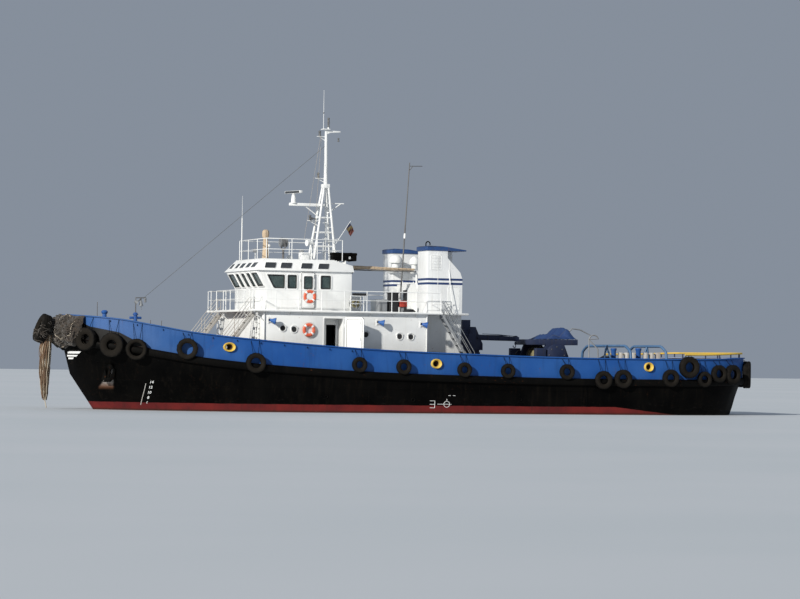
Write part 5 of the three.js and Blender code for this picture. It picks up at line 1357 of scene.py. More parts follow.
# Funnels have pipes, a ladder and louvres added to their casings, and one has a gooseneck
def buildFunnels():
    for name, side in sides:
        ladder = [[(-2.20, side * y, 5.0), (-2.20, side * y, 6.62)] for y in (2.28, 2.60)]
        ladder += [[(-2.20, side * 2.28, 5.2 + 0.3 * k), (-2.20, side * 2.60, 5.2 + 0.3 * k)] for k in range(5)]
        ladder += [[(-2.13, side * y, z), (-2.20, side * y, z)] for y in (2.28, 2.60) for z in (5.1, 6.5)]
        white = [pipe(ladder, 0.014, 6)]
        for k in range(9):
            z = 7.15 + k * 0.075
            slat = box((-0.95, 3.112, z), (-0.45, 3.140, z + 0.012), 0.003, 1)
            moved(slat,
                  Matrix.Translation((0, 3.12, z)) @ Matrix.Rotation(-0.5, 4, "X") @ Matrix.Translation((0, -3.12, -z)))
            white.append(slat if side > 0 else tidyMesh(moved(slat, starboardFlip), merge=0.00001))
        for spans, sizes, y in (((-0.97, -0.43, 7.12, 7.80), (0.03, 0.02, 0.02), 3.124),
                                ((-1.95, -1.35, 5.12, 6.25), (0.03, 0.02, 0.08), 3.122)):
            white.append(moved(frameRing(onSide(corners(*spans), side), *sizes), sideWall(side * y)))
        leaf = thicken(flatShape(onSide(corners(-1.93, -1.37, 5.14, 6.23), side), 0.07), 0.016)
        white.append(moved(leaf, sideWall(side * 3.125)))
        # seams where the casing's plates are welded
        white += boxes((-0.812, side * 3.117, 5.05, -0.788, side * 3.126, 8.02, 0.003, 1),
                       (-1.432, side * 3.117, 5.05, -1.408, side * 3.126, 7.55, 0.003, 1),
                       (-2.14, side * 1.9, 5.0, -2.115, side * 2.1, 5.05, 0.004, 1))
        drain = [(-1.40, side * 3.13, 7.11), (-1.45, side * 3.28, 6.0), (-1.53, side * 3.40, 4.97)]
        rail = [(-0.46, side * 3.16, 5.39), (-0.46, side * 3.5, 5.39), (-1.70, side * 3.16, 5.39)]
        finish(white + [pipe([drain], 0.016, 6), pipe([rail], 0.016)], "funnel_fittings_" + name, "white", 50)
    hook = [(-0.50, 2.2, 8.15)] + arc((-0.61, 2.2, 8.42), 0, math.pi, 0.11, 8, (0, 2)) + [(-0.72, 2.2, 8.36)]
    finish(pipe([hook], 0.030, 10), "funnel_gooseneck", "black", 60)


buildFunnels()
print("funnels built")

mast = {
    "feet": [(4.80, 0.45, 7.45), (3.62, 0.45, 7.262)], "heads": [(4.17, 0.12, 11.35), (3.98, 0.12, 11.35)],
    "rungs": [8.23, 8.93, 9.67], "backRungs": (9.2, 9.67, 10.05, 10.45, 10.9),
    "lanterns": [(4.43, 13.75, 1.25), (4.48, 11.65, 1.25), (4.88, 9.52, 1.25), (3.43, 13.5, 0.9), (3.97, 14.22, 1.0),
                 (3.97, 14.45, 1.1)],
    "lantern": [(0.0005, 0), (0.07, 0), (0.07, 0.012), (0.05, 0.03), (0.05, 0.06), (0.045, 0.07), (0.045, 0.15),
                (0.055, 0.16), (0.058, 0.185), (0.03, 0.215), (0.0005, 0.22)],
}


def legPoint(leg, side, z):
    foot, head = mast["feet"][leg], mast["heads"][leg]
    t = (z - foot[2]) / (head[2] - foot[2])
    return (foot[0] + (head[0] - foot[0]) * t, side * (foot[1] + (head[1] - foot[1]) * t), z)


def buildMast():
    thick, thin, parts = [], [], []
    for side in (-1, 1):
        for leg in (0, 1):
            base = mast["feet"][leg][2]
            thick.append([(*legPoint(leg, side, base - 0.01), 1.1), (*legPoint(leg, side, 11.35), 0.95)])
            x, y, z = legPoint(leg, side, base)
            parts.append(knob([(0.12, 0), (0.12, 0.016), (0.07, 0.03)], (x, y, z + 0.01 * leg), steps=16))
        thin += [[legPoint(0, side, z), legPoint(1, side, z)] for z in mast["rungs"]]
    thin += [[legPoint(leg, -1, z), legPoint(leg, 1, z)] for z in mast["rungs"] for leg in (0, 1)]
    parts += [
        pipe(thick, 0.056, 12), pipe(thin, 0.030), pipe([[(4.075, 0, 11.1, 1.0), (4.09, 0, 14.12, 0.58)]], 0.105, 16),
        pipe([[(4.23, 0, 14.1, 1.0), (4.23, 0, 16.065, 0.5)]], 0.015, 6),
        pipe([[(3.97, 0, 14.1), (3.97, 0, 14.24)]], 0.045),
        pipe([[(4.62, -0.37, 9.49), (4.62, 0.37, 9.49)]], 0.022),
        pipe([[(4.42, 0, 9.70), (5.20, 0, 10.26)], [(4.0, 0, 10.38), (3.09, 0, 10.40)],
              [(4.0, 0, 9.85), (3.25, 0, 10.39)]],
             0.028),
        turned([(0.0005, 10.35), (0.17, 10.35), (0.17, 10.37), (0.125, 10.39), (0.12, 10.55), (0.095, 10.74),
                (0.0005, 10.757)], (5.76, 0, 0), steps=24)]
    parts += boxes((3.90, -0.19, 11.15, 4.26, 0.19, 11.35, 0.02), (3.92, -0.17, 14.08, 4.31, 0.17, 14.12, 0.008),
                   (4.20, -0.08, 10.215, 5.98, 0.08, 10.36, 0.012), (4.18, -0.22, 10.25, 4.42, 0.22, 10.34, 0.01),
                   *((3.96, -0.12, z, 4.16, 0.12, z + 0.03, 0.005) for z in (8.6, 9.4, 10.2)))
    wing = thicken(flatShape([(4.09, 14.05), (4.09, 13.84), (3.85, 13.93), (3.33, 13.965), (3.33, 14.03)]), 0.09)
    parts.append(bevelEdges(moved(wing, facing((0, 0, 0), outward)), 0.012))
    for x, z in ((4.43, 13.72), (4.48, 11.62), (4.88, 9.49)):
        start = 4.08 if z > 11 else legPoint(0, 0, z)[0]
        parts.append(pipe([[(start, 0, z), (x + 0.06, 0, z)], [(start, 0, z - 0.22), (x, 0, z - 0.02)]], 0.020))
        parts.append(box((x - 0.12, -0.11, z), (x + 0.12, 0.11, z + 0.022), 0.006))
    parts += [pipe([[legPoint(1, -1, z), legPoint(1, 1, z)]], 0.016, 6) for z in mast["backRungs"]]
    for k in range(3):
        x, y = 4.05 + 0.02 * k, 0.05 - 0.03 * k
        parts.append(pipe([[(x, y, 7.5), (x - 0.02, y, 9.0), (x + 0.01, y, 10.6), (x, y, 11.2)]], 0.014, 6))
    finish(parts, "mast_tubes", "white", 45, node="main_mast")
    finish(pipe([[(4.09, 0, 13.3), (13.44, 0, 5.45)]], 0.011, 6), "forestay_wire", "steel", 60)
    lamps = [turned([(r * scale, rise * scale) for r, rise in mast["lantern"]], (x, 0, z), steps=16)
             for x, z, scale in mast["lanterns"]]
    lamps.append(turned([(0.0005, -0.04), (0.028, -0.03), (0.028, 0.03), (0.0005, 0.04)], (4.23, 0, 14.92), steps=12))
    horn = [(0.03, 0), (0.035, 0.12), (0.09, 0.34), (0.082, 0.34), (0.025, 0.13)]
    lamps.append(knob(horn, (4.62, 0.2, 9.58), (0.97, 0, 0.1)))
    finish(lamps, "mast_lamps", "steel", 50)
    # a smoked strip along the scanner's long face: its window, and painted shade for that side
    window = moved(box((-0.60, -0.012, 10.845), (0.60, 0.012, 10.945), 0.004), Matrix.Translation(
        (5.76, 0, 0)) @ Matrix.Rotation(math.radians(107), 4, "Z") @ Matrix.Translation((0, -0.088, 0)))
    finish(window, "radar_window_painted_shade", "smoked", 40, "radar_scanner")
    # aerials on the wheelhouse roof
    dome = [(0.0005, 0), (0.10, 0.01), (0.12, 0.06), (0.09, 0.12), (0.0005, 0.15)]
    finish([pipe([[(7.95, -1.5, 7.42), (7.95, -1.5, 9.6)]], 0.03), turned(dome, (6.4, -1.9, 8.2)),
            pipe([[(7.95, -1.5, 9.55, 1.0), (7.95, -1.5, 10.7, 0.5)]], 0.012, 6),
            pipe([[(6.4, -1.9, 7.42), (6.4, -1.9, 8.2)]], 0.02)], "roof_aerials", "white", 50)
    # the pole by the funnels
    foot = [(0.13, 4.965), (0.13, 5.02), (0.08, 5.06), (0.06, 5.16)]
    finish([pipe([[(0.03, 0, 5.0, 1.0), (-0.42, 0, 12.6, 0.55)]], 0.045, 12), knob(foot, (0.03, 0, 0), steps=16),
            pipe([[(-0.41, 0, 12.42), (-1.11, 0, 12.44)], [(-0.405, 0, 12.2), (-0.60, 0, 12.42)]], 0.018)],
           "aft_pole_tubes", "steel", 50, node="aft_pole")
    collar = turned([(0.030, 0), (0.055, 0), (0.055, 0.24), (0.030, 0.26)], (-0.20, 0, 8.75), (-0.06, 0, 1), 16)
    finish(collar, "aft_pole_lamp", "white", 50)


buildMast()

# Two halyards from the masthead down to the wheelhouse roof and its rail
halyards = {"signal_halyard_fore": [(4.40, 0.05, 13.71), (5.92, 2.13, 8.40)],
            "signal_halyard_aft": [(4.36, 0.05, 13.71), (5.06, 1.10, 8.0)]}
for name, path in halyards.items():
    fine = finePath(path, 18)
    line = finish(pipe([fine], 0.006, 6), name, "paleRope", 60)
    pathLength(fine)

# A small flag hangs from its own slanting staff on the mast's after leg
flag = {"foot": (3.70, 0.37, 8.26), "tip": (2.83, 0.33, 9.53), "hoist": 0.36, "fly": 0.46, "columns": 34, "rows": 26}


def buildFlag():
    foot, tip = Vector(flag["foot"]), Vector(flag["tip"])
    staff = [pipe([[(*foot, 1.0), (*tip, 0.7)]], 0.017),
             pipe([[foot + Vector((0, 0.03, 0.3)), foot.lerp(tip, 0.3)]], 0.012, 6)]
    finish(staff, "flag_staff", "white", 60)
    down = (foot - tip).normalized()
    start, droop = tip + down * 0.10, Vector((-0.62, 0.05, -0.78)).normalized()
    side = droop.cross(down).normalized()

    def place(u, v):
        f, g = u / flag["columns"], v / flag["rows"]
        swing = 0.035 * math.sin(f * 9.0 + g * 2.0) * f ** 0.6 + 0.02 * math.sin(f * 17 - g * 4) * f
        sag = Vector((0.05, 0, -0.05)) * f * f
        return start + down * flag["hoist"] * g + droop * (flag["fly"] * 0.97 * f + 0.012) + side * swing + sag
    cloth = grid(flag["columns"], flag["rows"], place, merge=0.00001)
    fly = cloth.data.attributes.new("fly", "FLOAT", "POINT")
    for vertex in cloth.data.vertices:
        fly.data[vertex.index].value = within((vertex.co - start).dot(droop) / flag["fly"])
    finish(solidify(cloth, 0.002, -1.0), "courtesy_flag", "flag", 80)


buildFlag()
print("mast and lines built")

awning = {"y": 0.9, "fore": (3.40, 7.20), "aft": (-0.42, 7.15), "thick": (0.112, 0.070), "steps": 90, "around": 40,
          "laces": 17, "lace": 14}
binnacle = {"x": 7.2, "around": 48, "profile": [
    (7.46, 0.165), (7.60, 0.163), (7.90, 0.152), (8.25, 0.140), (8.50, 0.132), (8.54, 0.128), (8.57, 0.150),
    (8.66, 0.180), (8.80, 0.188), (8.90, 0.175), (8.96, 0.13), (8.985, 0.06)]}


# The compass stands under a canvas cover, tied round at the neck
def buildBinnacle():
    x, profile = binnacle["x"], binnacle["profile"]

    def place(u, v):
        if v in (0, len(profile) + 1):
            return (x, 0, 7.455 if v == 0 else 8.99)
        z, r = profile[v - 1]
        a = 2 * math.pi * (u % binnacle["around"]) / binnacle["around"]
        fold = 0.010 * math.sin(6 * a + 3 * z) + 0.007 * math.sin(11 * a - 5 * z)
        r += fold * (0.3 if abs(z - 8.54) < 0.03 else 1.0) - 0.012
        return (x + r * math.cos(a), r * math.sin(a), z)
    cover = modify(grid(binnacle["around"], len(profile) + 1, place), "SUBSURF", levels=1, render_levels=1)
    finish(cover, "binnacle_cover", "canvas", 80, node="binnacle")
    turns = (2 * math.pi * k / 28 for k in range(29))
    tie = [(x + 0.134 * math.cos(a), 0.134 * math.sin(a), 8.54 + 0.004 * math.sin(3 * a)) for a in turns]
    finish(pipe([tie], 0.008, 6), "binnacle_tie", "towRope", 70)


def buildRaft():
    x0, x1, y, z = 2.97, 4.26, 1.5, 7.47
    case = boxes((x0, y - 0.19, z, x1, y + 0.19, z + 0.30, 0.05, 4),
                 (x0 - 0.02, y - 0.21, z + 0.27, x1 + 0.02, y + 0.21, z + 0.41, 0.045, 4),
                 *((x0 + k, y - 0.22, z - 0.02, x0 + k + 0.05, y + 0.22, z + 0.422, 0.01) for k in (0.28, 0.96)))
    finish(case, "liferaft_case", "black", 40, node="roof_locker")
    labels = boxes(*((3.24, y + k - 0.004, z + 0.10, 3.40, y + k + 0.004, z + 0.22, 0.003) for k in (0.19, -0.19)))
    finish(labels, "liferaft_labels", "white", 40)


# Awning rolled on its spar and laced round with a light line
def buildAwning():
    steps, around, y = awning["steps"], awning["around"], awning["y"]
    (x0, z0), (x1, z1), (thick, thin) = awning["fore"], awning["aft"], awning["thick"]

    def place(u, v):
        f, a = u / steps, 2 * math.pi * (v % around) / around
        pinch = 1 - 0.10 * max(0.0, math.cos(f * 2 * math.pi * 9)) ** 8
        fold = 0.012 * math.sin(3 * a + 9 * f) + 0.008 * math.sin(7 * a - 21 * f)
        r = ((thick + (thin - thick) * f - 0.018) * pinch + fold) * (0.75 if u in (0, steps) else 1)
        return (x0 + (x1 - x0) * f, y + r * math.cos(a), z0 + (z1 - z0) * f + r * 0.94 * math.sin(a))
    finish(grid(steps, around, place, cap=True), "awning_roll", "canvas", 70, node="rolled_awning")
    lace, count = [], awning["laces"] * awning["lace"]
    for k in range(count + 1):
        f, a = 0.02 + 0.96 * k / count, 2 * math.pi * k / awning["lace"]
        r = thick + (thin - thick) * f - 0.005
        lace.append((x0 + (x1 - x0) * f, y + r * math.cos(a), z0 + (z1 - z0) * f + r * math.sin(a)))
    finish(pipe([lace], 0.006, 6), "awning_lacing", "paleRope", 70)
    finish(pipe([[(3.42, y, 7.07), (-0.50, y, 7.05)]], 0.03), "awning_spar", "steel", 60)


def buildRoofGear():
    white, grey = [box((5.30, 0.78, 7.46), (5.73, 1.22, 7.86), 0.03, 3)], []
    horn = [(0.10, 0), (0.11, 0.10), (0.19, 0.30), (0.175, 0.30), (0.09, 0.10)]
    white += [knob(horn, (4.78, 0.10, 8.40), (1, 0.1, 0), 24), pipe([[(4.80, 0.10, 7.46), (4.80, 0.10, 8.36)]], 0.025)]
    bend = [(3.60 - 0.09 * (1 - math.cos(a)), 0.8, 7.66 + 0.09 * math.sin(a)) for a in (0.4, 0.9, 1.57, 2.2, 2.8)]
    white.append(pipe([[(3.60, 0.8, 7.30), (3.60, 0.8, 7.62), *bend, (3.42, 0.8, 7.60)]], 0.05, 12))
    big = [(0.0005, 0), (0.09, 0), (0.09, 0.30), (0.20, 0.32), (0.22, 0.38), (0.15, 0.46), (0.0005, 0.49)]
    small = [(0.0005, 0), (0.05, 0), (0.05, 0.12), (0.16, 0.14), (0.17, 0.26), (0.10, 0.34), (0.0005, 0.36)]
    white += [turned(big, (4.25, -1.6, 7.45), steps=28), turned(small, (5.5, -1.2, 7.45), steps=28)]
    for x, y in ((7.4, -1.0), (5.0, -0.9)):
        white.append(pipe([[(x, y, 7.45), (x, y, 7.9)]], 0.03))
        grey.append(box((x - 0.08, y - 0.14, 7.88), (x + 0.08, y + 0.14, 8.06), 0.02))
    # handrail and coaming along the roof's edge
    rails = [[(8.00, -2.22, 7.47), (8.00, 2.22, 7.47)], *([(4.35, y, 7.46), (7.98, y, 7.46)] for y in (2.24, -2.24))]
    finish(white + [pipe(rails, 0.018)], "roof_vents", "white", 50)
    finish(grey, "roof_boxes", "grey", 50)
    # searchlight lens, rim and cooling fins ride with the head
    x, y, z = 6.55, 0.85, 8.34
    front = ((x + 0.158, y, z), outward, 32)
    lens = turned([(0.0005, 0.0), (0.12, 0.006), (0.205, 0.0), (0.205, -0.02), (0.0005, -0.02)], *front)
    finish(lens, "searchlight_lens", "chrome", 50, "searchlight_head")
    rim = [turned([(0.206, -0.025), (0.225, -0.025), (0.225, 0.022), (0.206, 0.022)], *front)]
    for k in (0, 0.035, 0.07):
        fin = [(0.215, k), (0.232, k), (0.232, k + 0.012), (0.215, k + 0.012)]
        rim.append(turned(fin, (x - 0.175, y, z), outward, 32))
    finish(rim, "searchlight_rim", "grey", 50, "searchlight_head")
    # a fixed floodlight pair looking aft under the roof's edge
    cone = [(0.05, 0), (0.06, 0.05), (0.10, 0.14), (0.09, 0.14), (0.05, 0.05)]
    finish([knob(cone, (3.50, side * 2.2, 6.95), (-0.8, 0, -0.5)) for side in (-1, 1)], "aft_roof_lamps", "steel", 50)


for build in (buildBinnacle, buildRaft, buildAwning, buildRoofGear):
    build()
print("roof gear built")


# Boat deck gear, behind the wheelhouse and round the funnels
def buildBoatDeckGear():
    white, grey, dark = [], [], []
    # hose reel in its frame, with a rolled cover lashed on top
    cx, cy, cz = 3.37, 2.66, 5.34
    for k in (-0.16, 0.16):
        y = cy + k
        spokes = [[(cx - 0.27, y, cz), (cx + 0.27, y, cz)], [(cx, y, cz - 0.27), (cx, y, cz + 0.27)]]
        grey.append(pipe([arc((cx, y, cz), 0, 2 * math.pi, 0.27, 24, (0, 2)), *spokes], 0.016))
        y = cy + 1.5 * k
        stand = [(3.02, y, 4.965), (3.02, y, 5.72), (3.72, y, 5.72), (3.72, y, 4.965)]
        white.append(pipe([stand, [(3.02, y, cz), (3.72, y, cz)]], 0.022))
    turns = []
    for k in range(12 * 16 + 1):
        a = 2 * math.pi * k / 16
        layer, across = divmod(k / 16, 6)
        shift, r = across / 6 * 0.26 - 0.13, 0.12 + 0.045 * layer
        turns.append((cx + r * math.cos(a), cy + (shift if layer % 2 == 0 else -shift), cz + r * math.sin(a)))
    finish(pipe([turns], 0.022), "fire_hose_on_reel", "towRope", 70)
    roll = [(0.062 + 0.006 * math.sin(2.1 * k), 0.02 + 0.05 * k) for k in range(16)]
    roll = [(0.0005, 0), (0.05, 0.004), *roll, (0.05, 0.80), (0.0005, 0.81)]
    dark.append(turned(roll, (2.82, cy + 0.24, 5.80), outward, 16))
    # lockers, machinery boxes and vents; the near-black box by the port rail is painted shade for a doorway
    for group, x0, y0, x1, y1, z1 in ((white, 0.35, -0.9, 1.25, 0.9, 5.62), (white, 1.75, -1.9, 2.45, -0.9, 5.75),
                                      (grey, 1.80, 2.50, 2.25, 2.95, 5.55), (dark, 1.22, 2.55, 1.67, 3.0, 5.95)):
        group += boxes((x0, y0, 4.965, x1, y1, z1, 0.03, 3),
                       (x0 - 0.03, y0 - 0.03, z1 - 0.06, x1 + 0.03, y1 + 0.03, z1 + 0.02, 0.012))
    grey.append(box((0.88, 2.76, 4.965), (1.02, 2.90, 5.24), 0.01))
    dark.append(box((-0.505, -0.85, 5.05), (-0.485, -0.35, 6.15), 0.01))
    for k in range(4):
        coil = arc((0.72, 3.18, 5.0 + 0.03 * k), 0.3 * k, 0.3 * k + 2 * math.pi, 0.30 - 0.035 * k, 28, (0, 1))
        dark.append(pipe([coil], 0.026, 6))
    # mushroom vents: two on elbows out of the starboard funnel, one standing on the casing
    for x, y, z, r in ((-0.20, -1.2, 7.20, 0.33), (-1.22, -1.2, 7.15, 0.25), (-0.95, 0.9, 6.45, 0.22)):
        foot = z + 0.10 if y < 0 else 6.452
        if y < 0:
            wall = rayHit("funnel_starboard", (x, y, z), (0, -1, 0))[0]
            inside = wall.y - 0.05 if wall else -2.0
            elbow = [(x, y, z + 0.2), (x, y, z + 0.08), (x, y - 0.07, z), (x, y - 0.2, z - 0.04), (x, inside, z - 0.04)]
            white.append(pipe([elbow], r * 0.45, 14))
        vent = [(0.0005, foot), (r * 0.6, foot), (r * 0.6, z + 0.30), (r, z + 0.34), (r * 1.04, z + 0.44),
                (r * 0.9, z + 0.60), (r * 0.5, z + 0.72), (0.0005, z + 0.76)]
        white.append(turned(vent, (x, y, 0), steps=28))
    white.append(pipe([[(x, y, 6.44), (x, y, 6.62)] for x in (-1.9, -1.3, -0.7) for y in (-1.5, 1.5)], 0.02))
    # grilles in the casing's sides
    for _, side in sides:
        for k in range(7):
            z = 5.75 + 0.07 * k
            white.append(box((-1.75, side * 1.735, z), (-0.95, side * 1.765, z + 0.03), 0.006, 1))
    finish(white, "boat_deck_lockers", "white", 50)
    finish(grey, "boat_deck_machinery", "grey", 50)
    finish(box((0.75, 2.68, 5.22), (1.15, 2.98, 5.53), 0.03, 3), "fire_box", "red", 40)
    finish(dark, "boat_deck_dark_gear_and_door_shade", "dark", 40)


winch = {"x": -7.95, "half": 1.3, "axis": 2.96, "drum": 0.30, "rope": 0.024, "points": 720, "layers": 3}


def buildWinch():
    x, high, turns, parts, dark = winch["x"], winch["axis"], [], [], []
    # hawser wound on the drum in three layers
    wide = winch["half"] - 0.24
    for layer in range(winch["layers"]):
        r = winch["drum"] + winch["rope"] * (1 + 1.75 * layer)
        for k in range(winch["points"]):
            a, shift = 2 * math.pi * k / 20, -wide + 2 * wide * k / winch["points"]
            turns.append((x + r * math.cos(a), shift if layer % 2 == 0 else -shift, high + r * math.sin(a)))
    finish(pipe([turns], winch["rope"], 6), "hawser_on_drum", "towRope", 70, "towing_drum")
    for _, side in sides:
        y = side * (winch["half"] + 0.21)
        gear = [(0.52, -0.02), (0.56, 0.0), (0.56, 0.14), (0.52, 0.16)]
        dark.append(knob(gear, (x, y, high), (0, side, 0), 40))
        dark += boxes((x - 1.15, y, 2.02, x - 0.55, y + side * 0.32, 2.66, 0.03, 3),
                      (x + 0.62, y, 2.1, x + 1.2, y + side * 0.25, 3.3, 0.03, 3))
        for place in arc((x, y + side * 0.16, high), 0, 1.75 * math.pi, 0.42, 7, (0, 2)):
            parts.append(knob([(0.03, 0), (0.03, 0.03)], place, (0, side, 0), 6))
        parts.append(pipe([[(x + 0.9, y, 2.02), (x + 0.9, y, 3.05), (x + 0.75, y, 3.2)]], 0.02))
    finish(parts, "winch_bolts", "steel", 40)
    finish(dark, "winch_gearcases", "navy", 40)
    red = [[(x - 0.95, 1.56, 2.75), (x + 0.9, 1.56, 2.95)],
           [(x - 0.95, 1.56, 2.45), (x - 0.2, 1.56, 2.32), (x + 0.9, 1.56, 2.70)]]
    finish(pipe(red, 0.03), "winch_pipes", "red", 60)


tarp = {"low": (-9.23, -1.40), "high": (-7.70, 1.40), "base": 3.764, "peak": -8.83, "back": -8.05, "nx": 60, "ny": 96}


# Tarpaulin thrown over the winch top: one sheet, propped in the middle, sagging in folds to its edges
def buildTarp():
    (x0, y0), (x1, y1) = tarp["low"], tarp["high"]

    def place(u, v):
        f, g = u / tarp["nx"], v / tarp["ny"]
        x, y = x0 + (x1 - x0) * f, y0 + (y1 - y0) * g
        rise = (1 - min(1.0, min(f, 1 - f, g * 1.8, (1 - g) * 1.8) / 0.26)) ** 1.5
        ridge = 0.60 * math.exp(-((x - tarp["peak"]) / 0.34) ** 2) * (1 - 0.42 * abs(y / 1.4) ** 2.4)
        back = 0.26 * math.exp(-((x - tarp["back"]) / 0.36) ** 2) * (1 - 0.5 * abs(y / 1.4) ** 2)
        height, spot = max(ridge, back, 0.02), Vector((x * 1.3, y * 2.2, 0.7))
        folds = (0.045 * abs(randomField.noise(spot * 1.6))
                 + 0.012 * math.sin(11 * y - 7 * x + 5 * randomField.noise(spot)))
        height = (height + folds * (0.4 + 0.6 * min(1, height * 3))) * (1 - rise) + 0.012
        wave = 0.02 * math.sin(19 * (x + y)) * rise
        hem = 0.006 + 0.012 * (1 + math.sin(31 * y + 17 * x)) * rise
        return (x + wave, y + wave * 0.5, tarp["base"] + max(height, hem))
    sheet = solidify(grid(tarp["nx"], tarp["ny"], place), 0.004, 1)
    area, wide = sum(face.area for face in sheet.data.polygons) / 2, y1 - y0
    finish(sheet, "winch_tarp", "tarp", 80, node="winch_tarpaulin")
    lashing = []
    for y in (-1.0, 1.0):
        spots = (place(round(k / 39 * tarp["nx"]), round((y - y0) / wide * tarp["ny"])) for k in range(40))
        lashing.append([(px, py, pz + 0.012) for px, py, pz in spots])
    finish(pipe(lashing, 0.005, 6), "tarp_lashings", "steel", 70)


beams = {"forward": (-11.5, 2.95, 3.48, -0.7), "aft": (-13.85, 2.25, 3.49, 0.6)}


def buildTowBeams():
    for name, (x, half, rise, brace) in beams.items():
        low, foot = rise - 0.31, deckAt(x)
        line = [(x, -half + out, z)
                for out, z in ((-0.23, foot), (0, low - 0.06), (0.06, low + 0.03), (0.24, low + 0.14),
                               (0.52, rise - 0.04), (0.72, rise))]
        braces = [[(x, 0, rise), (x + end, 0, foot)] for end in (brace, -brace * 0.35)]
        parts = [pipe([line + [(px, -py, pz) for px, py, pz in reversed(line)]], 0.072, 16), pipe(braces, 0.052, 12)]
        for px, y, wx, wy in ((x, -half - 0.22, 0.2, 0.17), (x, half + 0.22, 0.2, 0.17), (x + brace, 0, 0.15, 0.15),
                              (x - brace * 0.35, 0, 0.15, 0.15)):
            parts.append(box((px - wx, y - wy, foot - 0.02), (px + wx, y + wy, foot + 0.025), 0.008))
        finish(parts, "tow_beam_%s_tube" % name, "lightBlue", 50, node="tow_beam_" + name)


def buildSternRail():
    crossX, run, posts = -17.5, [], []
    for point in fineEdge[1:]:
        if point[0] < -13.6:
            x, y, z = offsetPoint(point, -0.075, railAt(point[0]) + 0.21)
            run.append((max(x, crossX), y, z))
    whole = [(x, -y, z) for x, y, z in reversed(run)] + run
    for x, y, z in whole[2::5]:
        posts.append([(x, y, z - 0.212 if x > crossX else deckAt(x) - 0.01), (x, y, z)])
    finish(pipe([whole], 0.050, 12), "stern_rail_tube", "yellow", 50, node="stern_rail")
    finish(pipe(posts, 0.036), "stern_rail_posts", "navy", 50, slot="yellow_paint")


# Bent hawser guide over the after deck, hoop and chocks
def buildAfterDeck():
    arm = [(-8.9, 0.9, 4.10), (-9.15, 0.9, 4.34), (-9.6, 0.9, 4.28), (-10.23, 0.9, 3.98), (-10.10, 0.9, 3.80)]
    hoop = [(-10.10, 0.9, 1.83), (-10.10, 0.9, 3.80)] + arc((-10.37, 0.9, 3.75), math.pi * 0.9, 0.1, 0.27, 8, (0, 2))
    hoop += [(-10.62, 0.9, 3.29), (-10.62, 0.9, 1.83)]
    finish([pipe([arm], 0.035, 10), pipe([hoop], 0.035, 10)], "hawser_guide", "grey", 60)
    chocks = [pipe([[(-12.95, y, 3.08), (-13.9, y, 3.08)] for y in (1.5, -1.5)], 0.03, 10)]
    for x0, x1 in ((-13.1, -12.95), (-13.45, -13.3), (-13.83, -13.65)):
        chocks += boxes((x0, 1.35, 1.83, x1, 1.65, 3.16, 0.02), (x0, -1.65, 1.83, x1, -1.35, 3.16, 0.02))
    finish(chocks, "stern_chocks", "buff", 50, slot="yellow_paint")
    bollard = [(0.17, 0), (0.17, 0.05), (0.13, 0.08), (0.13, 1.42), (0.16, 1.46), (0.16, 1.56)]
    blue = [knob(bollard, (-12.63, y, 1.82), steps=24) for y in (-1.5, 1.5)]
    # with the fish-plate beside the towing hook
    finish(blue + boxes((-10.6, -0.42, 1.80, -9.9, 0.42, 2.50, 0.05, 3)), "capstan_bollards", "blue", 50)
    # hatch, vents and bollards on the working deck
    bitt = [(0.19, 0), (0.19, 0.025), (0.115, 0.04), (0.115, 0.62), (0.15, 0.65), (0.15, 0.72), (0.12, 0.75)]
    vent = [(0.0005, 0), (0.13, 0), (0.13, 0.5), (0.22, 0.52), (0.24, 0.60), (0.16, 0.70), (0.0005, 0.73)]
    dark = []
    for _, side in sides:
        for x in (-0.106, -11.627):
            y, deck = side * 4.28, deckAt(x)
            dark += [knob(bitt, (x + shift, y, deck), steps=28) for shift in (-0.28, 0.28)]
            dark.append(box((x - 0.5, y - 0.2, deck - 0.01), (x + 0.5, y + 0.2, deck + 0.03), 0.01))
        dark += [turned(vent, (x, side * 3.9, deckAt(x)), steps=28) for x in (-5.2, -13.0)]
    for x, y, w in ((-9.7, 2.9, 0.45), (-15.9, 0.0, 0.5), (-5.9, -2.9, 0.45)):
        deck = deckAt(x)
        dark += boxes((x - w, y - w, deck - 0.02, x + w, y + w, deck + 0.32, 0.03, 3),
                      (x - w - 0.04, y - w - 0.04, deck + 0.30, x + w + 0.04, y + w + 0.04, deck + 0.36, 0.015))
        lugs = [[(x + shift, y, deck + 0.36), (x + shift, y, deck + 0.40)] for shift in (-0.12, 0.12)]
        dark.append(pipe([arc((x, y, deck + 0.40), 0, 2 * math.pi, 0.12, 16, (0, 1)), *lugs], 0.014))
    finish(dark, "deck_bollards_and_hatches", "black", 45)


